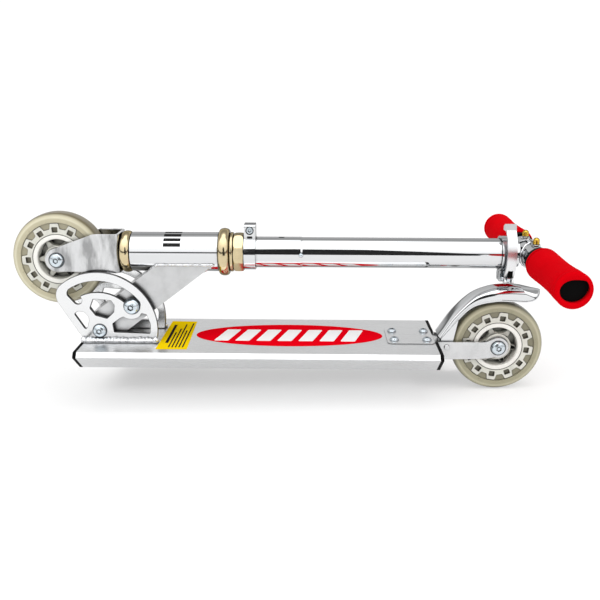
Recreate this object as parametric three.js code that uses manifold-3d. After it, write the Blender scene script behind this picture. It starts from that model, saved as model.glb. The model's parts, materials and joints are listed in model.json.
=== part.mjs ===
// A folding aluminium kick scooter in its folded state, with the steering column laid back over the deck.
// Millimetres, +Z up, front of the scooter towards -X, rider's left towards -Y.
// X = 0 is midway between the axles, Y = 0 the middle plane, Z = 0 the lowest point of the rear tyre.
import * as THREE from 'three';
import { mergeVertices } from 'three/addons/utils/BufferGeometryUtils.js';
import Module from 'manifold-3d';

const wasm = await Module();
wasm.setup();

// ---------- driving dimensions ----------
const GAP = 0.3;                      // clearance between neighbouring pieces
const DEG = Math.PI / 180;

const WHEEL_R = 49;
const TYRE_HALF = 12;                 // half the tyre's width
const AXLE_SPAN = 467.4;              // folded distance between the two axles
const FRONT_AXLE = { x: -AXLE_SPAN / 2, z: 142.3 };
const REAR_AXLE = { x: AXLE_SPAN / 2, z: WHEEL_R };
const AXLE_R = 4;

const DECK = { front: -210.9, rear: 168.9, top: 56, height: 23.7, wall: 2.2, cap: 3 };
const DECK_TOP_HALF = 58.3;
const DECK_MAX_HALF = 62.6;
const DECK_BOTTOM_HALF = 39.6;
const DECK_SHOULDER = 5.2;            // depth of the widest line below the top face
const CELL_HALF = 26;                 // half width of the deck's middle cell
const WEB_THICK = 2;

const PIVOT = { x: -190.9, z: 68 };
const PLATE_CENTRE = { x: -190.6, z: 70.2 };  // of the plates' round rear edge
const PLATE_INNER = 20.5;
const PLATE_OUTER = 24.5;
const PLATE_R = 61.5;
const FOLD_ANGLE = 85;                // from folded to riding position
const TUBE_ANGLE = 37.5;              // slope of the down tube when folded
const TUBE_HALF = 18.1;
const TUBE_WALL = 2;
const TUBE_LENGTH = 150;              // rough length, before the head tube's saddle is cut

const SLOT_INNER_R = 42;
const SLOT_OUTER_R = 54.3;
const NOTCH_HALF = 4.5;
const PIN_R = 2.5;
const FOLDED_NOTCH_R = 41.3;           // from the pivot to the middle of each notch's round end
const OPEN_NOTCH_R = 39.7;
const PIN_AT = SLOT_INNER_R + PIN_R + GAP;
const PIN_TRAVEL = SLOT_INNER_R - FOLDED_NOTCH_R + NOTCH_HALF;

const COLUMN_Z = 149.1;
const COLUMN_R = 15.9;
const SWAGE_R = 16.3;
const COLUMN_BORE_R = 14.6;
const COLUMN_END = 244;
const SWAGE_END = 21.8;
const STEERER_R = 14.2;
const HEAD_R = 20.65;
const HEAD = { front: -156.2, rear: -64.3, bore: 17.6 };
const CROWN_X = -167.2;
const BLADE = 2.8;

const BAR_X = 262.9;
const INNER_TUBE_R = 14.1;
const CROSS_R = 12.7;
const CROSS_HALF = 44;
const HANDLE_R = 11;
const HANDLE_WALL = 1.4;
const HANDLE_START = 14;
const GRIP_R = 16.8;
const GRIP_INNER_END = 47;
const GRIP_OUTER_END = 149;
const BUTTON_Y = 21;
const BUTTON_R = 2.9;
const INNER_TUBE_START = 40;
const INNER_TUBE_WALL = 1.5;

// ---------- materials ----------
const finish = (color, roughness, metalness) => ({ color, roughness, metalness });
const SATIN = finish(0xb4b6b8, 0.42, 0.9);
const STEEL = finish(0xa9abad, 0.4, 0.9);
const CHROME = finish(0xe6e8ea, 0.1, 1);
const GOLD_ZINC = finish(0xcdb98c, 0.28, 1);
const ZINC = finish(0xb9c6cf, 0.3, 1);
const BRASS = finish(0xc59a2f, 0.25, 1);
const BLACK = finish(0x141414, 0.6, 0);
const PLASTIC = finish(0xd6d4c6, 0.5, 0);
const TYRE = finish(0xc9c19c, 0.3, 0);
const FOAM = finish(0xe3061a, 0.9, 0);
const NYLON = finish(0xeeeeea, 0.5, 0);

// ---------- solids ----------
const SHAPE_STEPS = 6;                // segments of each curved stretch in an extruded outline
const ROUND = 24;                     // sides of a turned piece
const ROUND_SMALL = 12;
const HEAD_ROUND = 36;
const WHEEL_ROUND = 40;

function toSolid(geometry) {
  const bare = geometry.clone();
  bare.deleteAttribute('normal');
  bare.deleteAttribute('uv');
  const merged = mergeVertices(bare, 1e-4);
  const corners = merged.index.array;
  const triangles = [];
  for (let i = 0; i < corners.length; i += 3) {
    const [a, b, c] = corners.slice(i, i + 3);
    if (a !== b && b !== c && c !== a) triangles.push(a, b, c);
  }
  return new wasm.Manifold(new wasm.Mesh({
    numProp: 3,
    vertProperties: new Float32Array(merged.attributes.position.array),
    triVerts: new Uint32Array(triangles),
  }));
}

function toGeometry(body) {
  const mesh = body.getMesh();
  const geometry = new THREE.BufferGeometry();
  geometry.setAttribute('position', new THREE.BufferAttribute(mesh.vertProperties, 3));
  geometry.setIndex(new THREE.BufferAttribute(mesh.triVerts, 1));
  geometry.computeVertexNormals();
  return geometry;
}

const join = (first, ...others) => others.reduce((sum, other) => sum.add(other), first);
const cut = (first, ...tools) => tools.reduce((rest, tool) => rest.subtract(tool), first);

function part(name, body, look) {
  const mesh = new THREE.Mesh(toGeometry(body), new THREE.MeshStandardMaterial(look));
  mesh.name = name;
  return mesh;
}

// The directions an outline can be extruded in: each basis is the outline's own two axes, then its depth.
const AXIS = {
  X: new THREE.Vector3(1, 0, 0),
  Y: new THREE.Vector3(0, 1, 0),
  Z: new THREE.Vector3(0, 0, 1),
};
const SIDEWAYS = new THREE.Matrix4().makeBasis(AXIS.X, AXIS.Z, AXIS.Y.clone().negate());
const LENGTHWISE = new THREE.Matrix4().makeBasis(AXIS.Y, AXIS.Z, AXIS.X);
const TURN_X = new THREE.Matrix4().makeBasis(AXIS.Y, AXIS.X, AXIS.Z.clone().negate());
const TURN_Z = new THREE.Matrix4().makeBasis(AXIS.X, AXIS.Z, AXIS.Y.clone().negate());

const toVectors = (points) => points.map(([a, b]) => new THREE.Vector2(a, b));
const outline = (points) => new THREE.Shape(toVectors(points));
const toPath = (points) => new THREE.Path(toVectors(points));

function extrude(shape, depth) {
  return new THREE.ExtrudeGeometry(shape, { depth, bevelEnabled: false, curveSegments: SHAPE_STEPS });
}

// An outline drawn in X and Z, as thick as the stretch from y0 to y1.
function sideProfile(shape, y0, y1) {
  return toSolid(extrude(shape, y1 - y0).applyMatrix4(SIDEWAYS).translate(0, y1, 0));
}

// An outline drawn in Y and Z, running from x0 to x1.
function crossSection(shape, x0, x1) {
  return toSolid(extrude(shape, x1 - x0).applyMatrix4(LENGTHWISE).translate(x0, 0, 0));
}

// An outline drawn in X and Y, standing from z0 to z1.
function planProfile(shape, z0, z1) {
  return toSolid(extrude(shape, z1 - z0).translate(0, 0, z0));
}

// A round drill through everything along Y, centred at x and z.
const REACH = 40;
function crossDrill(radius, x, z) {
  return sideProfile(outline(ngon(ROUND_SMALL, 2 * radius)), -REACH, REACH).translate([x, 0, z]);
}

function block(x0, x1, y0, y1, z0, z1) {
  const box = new THREE.BoxGeometry(x1 - x0, y1 - y0, z1 - z0);
  return toSolid(box.translate((x0 + x1) / 2, (y0 + y1) / 2, (z0 + z1) / 2));
}

// A turned piece: [radius, height] points, anticlockwise, round Y, X or Z.
function turned(points, sides, axis) {
  const loop = points.map(([r, h]) => new THREE.Vector2(r, h));
  if (points[0][0] > 0) loop.push(loop[0].clone());
  const geometry = new THREE.LatheGeometry(loop, sides);
  if (axis === 'X') geometry.applyMatrix4(TURN_X);
  if (axis === 'Z') geometry.applyMatrix4(TURN_Z);
  return toSolid(geometry);
}

function rod(radius, from, to, sides, axis) {
  return turned([[0, from], [radius, from], [radius, to], [0, to]], sides, axis);
}

function pipe(outer, inner, from, to, sides, axis) {
  return turned([[inner, from], [outer, from], [outer, to], [inner, to]], sides, axis);
}

const ngon = (sides, acrossFlats, turn = 0) => Array.from({ length: sides }, (_, i) => {
  const angle = (i + 0.5) * 2 * Math.PI / sides + turn;
  const radius = acrossFlats / 2 / Math.cos(Math.PI / sides);
  return [radius * Math.cos(angle), radius * Math.sin(angle)];
});

// A closed outline moved inwards by a distance; the points run anticlockwise.
function inset(points, distance) {
  const count = points.length;
  const edges = points.map(([x0, y0], i) => {
    const [x1, y1] = points[(i + 1) % count];
    const length = Math.hypot(x1 - x0, y1 - y0);
    const normal = [-(y1 - y0) / length, (x1 - x0) / length];
    return { normal, offset: normal[0] * x0 + normal[1] * y0 + distance };
  });
  return edges.map((edge, i) => {
    const before = edges[(i + count - 1) % count];
    const [a, b] = before.normal;
    const [c, d] = edge.normal;
    const det = a * d - b * c;
    return [(before.offset * d - b * edge.offset) / det, (a * edge.offset - before.offset * c) / det];
  });
}

const arcPoints = (cx, cy, radius, from, to, steps) => Array.from({ length: steps + 1 }, (_, i) => {
  const angle = (from + (to - from) * i / steps) * DEG;
  return [cx + radius * Math.cos(angle), cy + radius * Math.sin(angle)];
});

const polar = (radius, degrees) => [
  PIVOT.x + radius * Math.cos(degrees * DEG),
  PIVOT.z + radius * Math.sin(degrees * DEG),
];

// ---------- fasteners ----------
const AXLE_BOLT = { headR: 7.4, headH: 3.8, shankR: AXLE_R, socket: 5 };
const PIVOT_BOLT = { headR: 6.9, headH: 4, shankR: AXLE_R, socket: 5 };
const LOCK_BOLT = { headR: 8, headH: 5, shankR: PIN_R, socket: 5 };
const NUT = { acrossFlats: 13, height: 5.5 };

// A button-head socket bolt along Y. Its head seats on the face at y = seat and stands out towards -Y.
function buttonBolt(name, { headR, headH, shankR, seat, tip, socket }) {
  const top = seat - headH;
  const head = turned([
    [0, top], [headR * 0.55, top], [headR * 0.85, top + headH * 0.3], [headR, top + headH * 0.75],
    [headR, seat], [shankR, seat], [shankR, tip], [0, tip],
  ], ROUND_SMALL, 'Y');
  const hex = sideProfile(outline(ngon(6, socket)), top - 1, top + headH * 0.6);
  return part(name, cut(head, hex), ZINC);
}

// A hexagon lock nut on the same kind of bolt, standing out towards +Y from its seat.
function sideNut(name, { acrossFlats, height, boreR, seat }) {
  const nut = sideProfile(outline(ngon(6, acrossFlats)), seat, seat + height);
  const bore = sideProfile(outline(ngon(ROUND_SMALL, 2 * boreR)), seat - 1, seat + height + 1);
  return part(name, cut(nut, bore), ZINC);
}

// ---------- wheels ----------
const CORE = {
  hubR: 13.5, rimInner: 21.5, rimOuter: 26.8, tunnelR: 7,
  rootR: 32.5, tipR: 38.4, teeth: 12, rootTurn: 9.5, tipTurn: 6.5, flange: 2.6, face: 11.4,
  pocketR: 31.2, pocketHalf: 3.1, spokes: 6, spokeHalf: 7,
};
const BEARING = { outerR: 11, width: 7 };       // size 608
const TYRE_WAIST = CORE.face - CORE.flange - GAP;
const TYRE_SHOULDER_R = 6;

function tyre(name) {
  const round = TYRE_SHOULDER_R;
  const upper = arcPoints(WHEEL_R - round, TYRE_HALF - round, round, 12, 90, 3);
  const lower = upper.map(([r, y]) => [r, -y]).reverse();
  const groove = CORE.tipR + GAP;
  const profile = [
    [CORE.rimOuter + GAP, -TYRE_WAIST], [groove, -TYRE_WAIST], [groove, -TYRE_HALF],
    ...lower, [WHEEL_R, 0], ...upper,
    [groove, TYRE_HALF], [groove, TYRE_WAIST], [CORE.rimOuter + GAP, TYRE_WAIST],
  ];
  return part(name, turned(profile, WHEEL_ROUND, 'Y'), TYRE);
}

function toothedFlange(y0, y1) {
  const { teeth, rootR, tipR, rootTurn, tipTurn, rimOuter } = CORE;
  const toothOutline = [[rootR, -rootTurn], [tipR, -tipTurn], [tipR, tipTurn], [rootR, rootTurn]];
  const points = [];
  for (let tooth = 0; tooth < teeth; tooth += 1) {
    for (const [radius, turn] of toothOutline) {
      const angle = (tooth * 360 / teeth + turn) * DEG;
      points.push([radius * Math.cos(angle), radius * Math.sin(angle)]);
    }
  }
  const shape = outline(points);
  const sunk = 1;                     // how far the flange reaches into the rim
  shape.holes.push(toPath(ngon(WHEEL_ROUND / 2, 2 * (rimOuter - sunk))));
  return sideProfile(shape, y0, y1);
}

function pocketCutter() {
  const { pocketR, pocketHalf, teeth } = CORE;
  const size = 2 * pocketHalf;
  const cutters = [];
  for (let tooth = 0; tooth < teeth; tooth += 1) {
    const bar = new THREE.BoxGeometry(size, size, 2 * TYRE_HALF).translate(pocketR, 0, 0);
    bar.rotateZ(tooth * 2 * Math.PI / teeth).applyMatrix4(SIDEWAYS);
    cutters.push(toSolid(bar));
  }
  return cutters;
}

function star(points, innerR, outerR, y0, y1) {
  const corners = [];
  for (let i = 0; i < 2 * points; i += 1) {
    const angle = i * Math.PI / points;
    const radius = i % 2 ? innerR : outerR;
    corners.push([radius * Math.cos(angle), radius * Math.sin(angle)]);
  }
  return sideProfile(outline(corners), y0, y1);
}

function wheelCore(name) {
  const { hubR, rimInner, rimOuter, flange, face, tunnelR, spokes, spokeHalf } = CORE;
  const rim = pipe(rimOuter, rimInner, -TYRE_HALF, TYRE_HALF, WHEEL_ROUND, 'Y');
  const hub = rod(hubR, -TYRE_HALF, TYRE_HALF, ROUND, 'Y');
  const arms = star(spokes, hubR - 1, rimInner + 2, -spokeHalf, spokeHalf);
  const flanges = [toothedFlange(face - flange, face), toothedFlange(-face, flange - face)];
  const body = join(rim, hub, arms, ...flanges);
  const seatR = BEARING.outerR + GAP / 2;
  const seatDepth = BEARING.width + GAP;
  const seats = [
    rod(seatR, TYRE_HALF - seatDepth, TYRE_HALF + 1, ROUND, 'Y'),
    rod(seatR, -TYRE_HALF - 1, seatDepth - TYRE_HALF, ROUND, 'Y'),
    rod(tunnelR, -TYRE_HALF, TYRE_HALF, ROUND_SMALL, 'Y'),
  ];
  return part(name, cut(body, ...seats, ...pocketCutter()), PLASTIC);
}

function bearing(name, side) {
  const half = BEARING.width / 2;
  const middle = side * (TYRE_HALF - half);
  const race = pipe(BEARING.outerR, AXLE_R + GAP, middle - half, middle + half, ROUND, 'Y');
  return part(name, race, STEEL);
}

function wheel(end, axle) {
  const group = new THREE.Group();
  group.position.set(axle.x, 0, axle.z);
  group.add(
    tyre(`${end}_tyre`),
    wheelCore(`${end}_wheel_core`),
    bearing(`${end}_bearing_left`, -1),
    bearing(`${end}_bearing_right`, 1),
  );
  return group;
}

function axle(end, at, outerFace) {
  const group = new THREE.Group();
  group.position.set(at.x, 0, at.z);
  const seat = outerFace + GAP;
  group.add(
    buttonBolt(`${end}_axle_bolt`, { ...AXLE_BOLT, seat: -seat, tip: seat + NUT.height + 0.5 }),
    sideNut(`${end}_axle_nut`, { ...NUT, boreR: AXLE_R + GAP / 2, seat }),
  );
  return group;
}

// ---------- deck ----------
function deckOutline() {
  const half = [[DECK_TOP_HALF, 0], [DECK_MAX_HALF, -DECK_SHOULDER], [DECK_BOTTOM_HALF, -DECK.height]];
  const left = half.map(([y, z]) => [-y, z]);
  const right = half.slice().reverse();
  return [...left, ...right];
}

// The three cells of the hollow deck, drawn in Y and Z below the top face.
function deckCells(clearance = 0) {
  const inner = inset(deckOutline(), DECK.wall + clearance);
  const web = CELL_HALF + WEB_THICK + clearance;
  const top = -DECK.wall - clearance;
  const floor = DECK.wall + clearance - DECK.height;
  const middle = [
    [clearance - CELL_HALF, floor], [CELL_HALF - clearance, floor],
    [CELL_HALF - clearance, top], [clearance - CELL_HALF, top],
  ];
  const [topLeft, wideLeft, lowLeft] = inner;
  const left = [topLeft, wideLeft, lowLeft, [-web, floor], [-web, top]];
  const right = left.map(([y, z]) => [-y, z]).reverse();
  return { middle, left, right };
}

const SCREWS = [-1, 1].flatMap((side) => [122.5, 157.4].map((x) => ({ x, y: 14.5 * side })));
const SCREW_R = 2.4;
const SCREW_SINK = 4.4;
const TONGUE = { from: 108, top: DECK.top - DECK.wall - GAP, thick: 3 };
const PLATE_TOP = DECK.top + 1;

function screwHoles(radius) {
  return SCREWS.map(({ x, y }) => {
    const drill = new THREE.CylinderGeometry(radius, radius, 20, ROUND_SMALL).rotateX(Math.PI / 2);
    return toSolid(drill.translate(x, y, DECK.top));
  });
}

function deckExtrusion() {
  const [from, to] = [DECK.front + DECK.cap + GAP, DECK.rear - DECK.cap - GAP];
  const { middle, left, right } = deckCells();
  const cells = [middle, left, right].map((cell) => crossSection(outline(cell), from - 1, to + 1));
  const body = cut(crossSection(outline(deckOutline()), from, to), ...cells).translate([0, 0, DECK.top]);
  return part('deck_extrusion', cut(body, ...screwHoles(SCREW_R + GAP)), SATIN);
}

const CAP_PLUG = 8.5;                 // how far a cap's plugs reach into the deck

// A moulded cap over an end of the deck, with a plug in each outer cell.
function endCap(name, outerX, inward, ...notches) {
  const inner = outerX + inward * DECK.cap;
  const between = (points, a, b) => crossSection(outline(points), Math.min(a, b), Math.max(a, b));
  const { left, right } = deckCells(GAP);
  const plugs = [left, right].map((cell) => between(cell, inner - inward, inner + inward * CAP_PLUG));
  const body = join(between(deckOutline(), outerX, inner), ...plugs).translate([0, 0, DECK.top]);
  return part(name, cut(body, ...notches), BLACK);
}

function deckScrews() {
  const seat = PLATE_TOP + GAP;
  return SCREWS.map(({ x, y }, i) => {
    const screw = turned([
      [0, -SCREW_SINK], [SCREW_R, -SCREW_SINK], [SCREW_R, 0],
      [4.9, 0], [4.9, 0.9], [3.9, 2.2], [2.4, 2.8], [0, 2.8],
    ], ROUND_SMALL, 'Z');
    const socket = planProfile(outline(ngon(6, 3)), 1, 4);
    const mesh = part(`deck_screw_${i + 1}`, cut(screw, socket), ZINC);
    mesh.position.set(x, y, seat);
    return mesh;
  });
}

function screwPlate() {
  const plate = new THREE.Shape();
  const [x0, x1, half, corner] = [114.8, 165.2, 25.5, 5];
  plate.moveTo(x0 + corner, -half);
  plate.lineTo(x1 - corner, -half);
  plate.absarc(x1 - corner, corner - half, corner, -Math.PI / 2, 0);
  plate.absarc(x1 - corner, half - corner, corner, 0, Math.PI / 2);
  plate.absarc(x0 + corner, half - corner, corner, Math.PI / 2, Math.PI);
  plate.absarc(x0 + corner, corner - half, corner, Math.PI, 1.5 * Math.PI);
  const sheet = planProfile(plate, DECK.top + GAP, PLATE_TOP);
  return part('screw_plate', cut(sheet, ...screwHoles(SCREW_R + GAP)), SATIN);
}

// ---------- folding bracket ----------
function plateOutline() {
  const foot = DECK.top + GAP;
  const corner = { x: -219, z: 105.8, r: 16 };
  const frontSlope = 211.3;
  const meet = 128.6;
  const rear = -Math.asin((PLATE_CENTRE.z - foot) / PLATE_R) / DEG;
  return [
    [-207.7, foot],
    [PLATE_CENTRE.x + PLATE_R * Math.cos(rear * DEG), foot],
    ...arcPoints(PLATE_CENTRE.x, PLATE_CENTRE.z, PLATE_R, rear, meet, 24),
    ...arcPoints(corner.x, corner.z, corner.r, meet, frontSlope, 6).slice(1),
  ];
}

function slotPath() {
  const middle = (SLOT_INNER_R + SLOT_OUTER_R) / 2;
  const half = (SLOT_OUTER_R - SLOT_INNER_R) / 2;
  const folded = TUBE_ANGLE;
  const open = TUBE_ANGLE + FOLD_ANGLE;
  const side = NOTCH_HALF / SLOT_INNER_R / DEG;
  const notch = (angle, depth) => {
    const [x, z] = polar(depth, angle);
    return arcPoints(x, z, NOTCH_HALF, angle + 90, angle + 270, 6);
  };
  const [endX, endZ] = polar(middle, open);
  const [startX, startZ] = polar(middle, folded);
  return [
    ...arcPoints(PIVOT.x, PIVOT.z, SLOT_OUTER_R, folded, open, 14),
    ...arcPoints(endX, endZ, half, open, open + 75, 4).slice(1),
    ...notch(open, OPEN_NOTCH_R),
    ...arcPoints(PIVOT.x, PIVOT.z, SLOT_INNER_R, open - side, folded + side, 12),
    ...notch(folded, FOLDED_NOTCH_R),
    ...arcPoints(startX, startZ, half, folded - 75, folded, 4).slice(0, -1),
  ];
}

function plateWindows() {
  const hexagon = [
    [-182.5, 81.5], [-174.8, 88.9], [-173.9, 96.3], [-177.5, 101.4],
    [-196, 102.9], [-200, 92.8], [-194.1, 84.9],
  ];
  const frontWindow = [
    [-206.2, 69.5], [-203.6, 72.2],
    ...arcPoints(-212.2, 79.6, 10.2, -28, 62, 5), [-212.6, 89.2], [-216.8, 86.5],
  ];
  const rearWindow = [
    [-175.7, 66.4], [-137.6, 65.2], [-136.8, 75.6], [-140.6, 86.2], [-145.7, 87.5],
    ...arcPoints(-156.6, 95.4, 14.6, -50, -125, 5), [-168.6, 81.9], [-176.9, 75.8],
  ];
  return [hexagon, frontWindow, rearWindow];
}

function foldPlate(name, y0, y1) {
  const shape = outline(plateOutline());
  shape.holes.push(toPath(slotPath()), ...plateWindows().map(toPath));
  const hole = crossDrill(PIVOT_BOLT.shankR + GAP, PIVOT.x, PIVOT.z);
  return part(name, cut(sideProfile(shape, y0, y1), hole), CHROME);
}

function foldingBracket() {
  const group = new THREE.Group();
  group.add(
    foldPlate('fold_plate_left', -PLATE_OUTER, -PLATE_INNER),
    foldPlate('fold_plate_right', PLATE_INNER, PLATE_OUTER),
  );
  const hinge = new THREE.Group();
  hinge.position.set(PIVOT.x, 0, PIVOT.z);
  const seat = PLATE_OUTER + GAP;
  const washer = (from, to) => pipe(9, PIVOT_BOLT.shankR + GAP, from, to, ROUND_SMALL, 'Y');
  hinge.add(
    buttonBolt('fold_pivot_bolt', { ...PIVOT_BOLT, seat: -seat, tip: seat + NUT.height + 1 }),
    sideNut('fold_pivot_nut', { ...NUT, boreR: PIVOT_BOLT.shankR + GAP / 2, seat }),
    part('fold_washer_left', washer(GAP - PLATE_INNER, -TUBE_HALF - GAP), NYLON),
    part('fold_washer_right', washer(TUBE_HALF + GAP, PLATE_INNER - GAP), NYLON),
  );
  group.add(hinge);
  return group;
}

// ---------- rear bracket and brake ----------
const STRAP = { low: 36, high: 55.7, inner: 15, thick: 2.5, pinch: 1.8, endR: 12 };
const WEB_X = DECK.rear + GAP;
const BRAKE_PIN = { x: 178.5, z: 50, r: 2.5, headR: 3.8, headH: 1.2 };

// Plan of one strap: straight past the deck, then stepped inwards to the axle.
function strapPlan(side) {
  const { inner, thick, pinch } = STRAP;
  const line = [[WEB_X, inner], [217, inner], [221.5, inner - pinch], [248, inner - pinch]];
  const outer = line.map(([x, y]) => [x, (y + thick) * side]);
  const inside = line.map(([x, y]) => [x, y * side]);
  const loop = [...inside, ...outer.reverse()];
  return outline(side > 0 ? loop.reverse() : loop);
}

function strapSide() {
  const shape = new THREE.Shape();
  const { x, z } = REAR_AXLE;
  shape.moveTo(WEB_X, STRAP.low);
  shape.lineTo(x - 6, STRAP.low + 1);
  shape.absarc(x, z, STRAP.endR, -115 * DEG, 115 * DEG);
  shape.lineTo(x - STRAP.endR, STRAP.high);
  shape.lineTo(WEB_X, STRAP.high);
  return shape;
}

function rearBracket() {
  const reach = STRAP.inner + STRAP.thick;
  const profile = sideProfile(strapSide(), -reach - 1, reach + 1);
  const above = REAR_AXLE.z + STRAP.endR + 1;
  const straps = [-1, 1].map((side) => planProfile(strapPlan(side), STRAP.low - 2, above).intersect(profile));
  const web = block(WEB_X, WEB_X + STRAP.thick, -reach, reach, STRAP.low, TONGUE.top);
  const tongue = block(TONGUE.from, WEB_X + 1, -reach, reach, TONGUE.top - TONGUE.thick, TONGUE.top);
  const body = cut(
    join(web, tongue, ...straps),
    crossDrill(AXLE_R + GAP, REAR_AXLE.x, REAR_AXLE.z),
    crossDrill(BRAKE_PIN.r + GAP, BRAKE_PIN.x, BRAKE_PIN.z),
    ...screwHoles(SCREW_R + GAP),
  );
  return part('rear_bracket', body, STEEL);
}

function brakePin() {
  const { r, headR, headH } = BRAKE_PIN;
  const reach = STRAP.inner + STRAP.thick + GAP;
  const end = reach + headH;
  const crown = headR - headH / 2;
  const pin = turned([
    [0, -end], [crown, -end], [headR, -reach], [r, -reach],
    [r, reach], [headR, reach], [crown, end], [0, end],
  ], ROUND_SMALL, 'Y');
  const mesh = part('brake_hinge_pin', pin, ZINC);
  mesh.position.set(BRAKE_PIN.x, 0, BRAKE_PIN.z);
  return mesh;
}

const FENDER = { half: 14.6, sheet: 1.4, tip: 277, tipTop: 111.6, tipLow: 105, tipRound: 17, earR: 5.8 };

function fenderCurve(points) {
  return new THREE.CatmullRomCurve3(points.map(([x, z]) => new THREE.Vector3(x, 0, z)), false, 'centripetal')
    .getPoints(18).map(({ x, z }) => [x, z]);
}

const fenderTop = () => fenderCurve([
  [169.6, 60.4], [185.6, 84.6], [204.8, 103.8], [222.5, 112.1],
  [238, 114.6], [253, 114.4], [FENDER.tip, FENDER.tipTop],
]);
const fenderEdge = () => fenderCurve([
  [FENDER.tip, FENDER.tipLow], [262, 100.8], [245, 101.2], [227.4, 101], [204.4, 95], [188, 79], [174.5, 57],
]);

function fender() {
  const { half, sheet, tip, tipTop, tipRound, earR } = FENDER;
  const top = fenderTop();
  const skin = outline([...fenderEdge(), ...top]);
  const [front, floor] = [BRAKE_PIN.x - REACH, BRAKE_PIN.z - 2 * earR];
  const hollow = outline([
    ...top.map(([x, z]) => [x + sheet * 0.62, z - sheet]).reverse(),
    [front, floor], [tip + REACH, floor], [tip + REACH, tipTop - sheet],
  ].reverse());
  const ear = new THREE.Shape();
  ear.absarc(BRAKE_PIN.x, BRAKE_PIN.z, earR, Math.PI, 2 * Math.PI);
  ear.lineTo(190, 80);
  ear.lineTo(172.6, 58.5);
  const ears = [[-half, sheet - half], [half - sheet, half]].map(([y0, y1]) => sideProfile(ear, y0, y1));
  const channel = cut(sideProfile(skin, -half, half), sideProfile(hollow, sheet - half, half - sheet));
  const plan = new THREE.Shape();
  plan.moveTo(front, -half - 1);
  plan.lineTo(tip - tipRound, -half - 1);
  plan.absellipse(tip - tipRound, 0, tipRound, half + 1, -Math.PI / 2, Math.PI / 2);
  plan.lineTo(front, half + 1);
  const body = join(channel, ...ears).intersect(planProfile(plan, 0, tipTop + REACH));
  return part('fender_brake', cut(body, crossDrill(BRAKE_PIN.r + GAP, BRAKE_PIN.x, BRAKE_PIN.z)), CHROME);
}

class CoilCurve extends THREE.Curve {
  constructor(radius, turns, from, to) {
    super();
    Object.assign(this, { radius, turns, from, to });
  }

  getPoint(t, target = new THREE.Vector3()) {
    const angle = t * this.turns * 2 * Math.PI;
    const along = this.from + (this.to - this.from) * t;
    return target.set(this.radius * Math.cos(angle), along, this.radius * Math.sin(angle));
  }
}

// A spring of round wire wound about Y.
function coil({ radius, turns, from, to, wireR, steps }) {
  const section = outline(ngon(5, 2 * wireR));
  const path = new CoilCurve(radius, turns, from, to);
  return toSolid(new THREE.ExtrudeGeometry(section, { steps, extrudePath: path, bevelEnabled: false }));
}

function brakeSpring() {
  const spring = coil({ radius: 4, turns: 4.5, from: -6, to: 6, wireR: 0.7, steps: 45 });
  const mesh = part('brake_spring', spring, STEEL);
  mesh.position.set(BRAKE_PIN.x, 0, BRAKE_PIN.z);
  return mesh;
}

// The rear cap is open over the bracket's tongue and the deck's lip above it.
function tongueNotch() {
  const half = STRAP.inner + STRAP.thick + 0.5;
  return block(DECK.rear - REACH, DECK.rear + 1, -half, half, STRAP.low - 2 * GAP, DECK.top + 1);
}

function deck() {
  const group = new THREE.Group();
  group.add(
    deckExtrusion(),
    endCap('front_end_cap', DECK.front, 1),
    endCap('rear_end_cap', DECK.rear, -1, tongueNotch()),
    screwPlate(),
    ...deckScrews(),
    foldingBracket(),
    rearBracket(),
    axle('rear', REAR_AXLE, STRAP.inner - STRAP.pinch + STRAP.thick),
    brakePin(),
    brakeSpring(),
  );
  return group;
}

// ---------- head: down tube, head tube and headset ----------
// Built along X from the fold pivot, then tilted to the tube's slope.
function downTube() {
  const clearFloor = PIVOT.z - DECK.top - 0.6;
  const foldedDown = 270 - TUBE_ANGLE;
  const openDown = foldedDown - FOLD_ANGLE;
  const along = (angle, v) => (clearFloor - v * Math.sin(angle * DEG)) / Math.cos(angle * DEG);
  const start = along(foldedDown, -TUBE_HALF);
  const back = along(openDown, TUBE_HALF);
  const profile = outline([
    [TUBE_LENGTH, -TUBE_HALF], [TUBE_LENGTH, TUBE_HALF], [back, TUBE_HALF],
    ...arcPoints(0, 0, clearFloor, openDown, foldedDown, 5),
    [start, -TUBE_HALF],
  ]);
  const outer = sideProfile(profile, -TUBE_HALF, TUBE_HALF);
  const hollow = TUBE_HALF - TUBE_WALL;
  const bore = block(-TUBE_LENGTH, TUBE_LENGTH + 1, -hollow, hollow, -hollow, hollow);
  const tilt = [0, -TUBE_ANGLE, 0];
  const pivotHole = crossDrill(PIVOT_BOLT.shankR + GAP, 0, 0);
  const slotHalf = PIN_R + GAP;
  const [slotFrom, slotTo] = [PIN_AT - PIN_TRAVEL - slotHalf, PIN_AT + slotHalf];
  const pinSlot = block(slotFrom, slotTo, -REACH, REACH, -slotHalf, slotHalf);
  const rise = COLUMN_Z - PIVOT.z;
  const headCut = rod(HEAD_R + GAP, -TUBE_LENGTH, TUBE_LENGTH, ROUND, 'X').translate([0, 0, rise]);
  const above = block(-TUBE_LENGTH, TUBE_LENGTH, -REACH, REACH, rise, TUBE_LENGTH);
  const body = cut(cut(outer, bore, pivotHole, pinSlot).rotate(tilt), headCut, above);
  return part('down_tube', body, SATIN);
}

function lockSpring() {
  const to = PIN_AT - PIN_TRAVEL - PIN_R - 1;
  const spring = coil({ radius: 5, turns: 6, from: 9, to, wireR: 0.6, steps: 54 });
  return part('lock_spring', spring.rotate([0, 0, -90]).rotate([0, -TUBE_ANGLE, 0]), STEEL);
}

function headTube() {
  return part('head_tube', pipe(HEAD_R, HEAD.bore, HEAD.front, HEAD.rear, HEAD_ROUND, 'X'), CHROME);
}

const CUP_SKIRT = 9;

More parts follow.
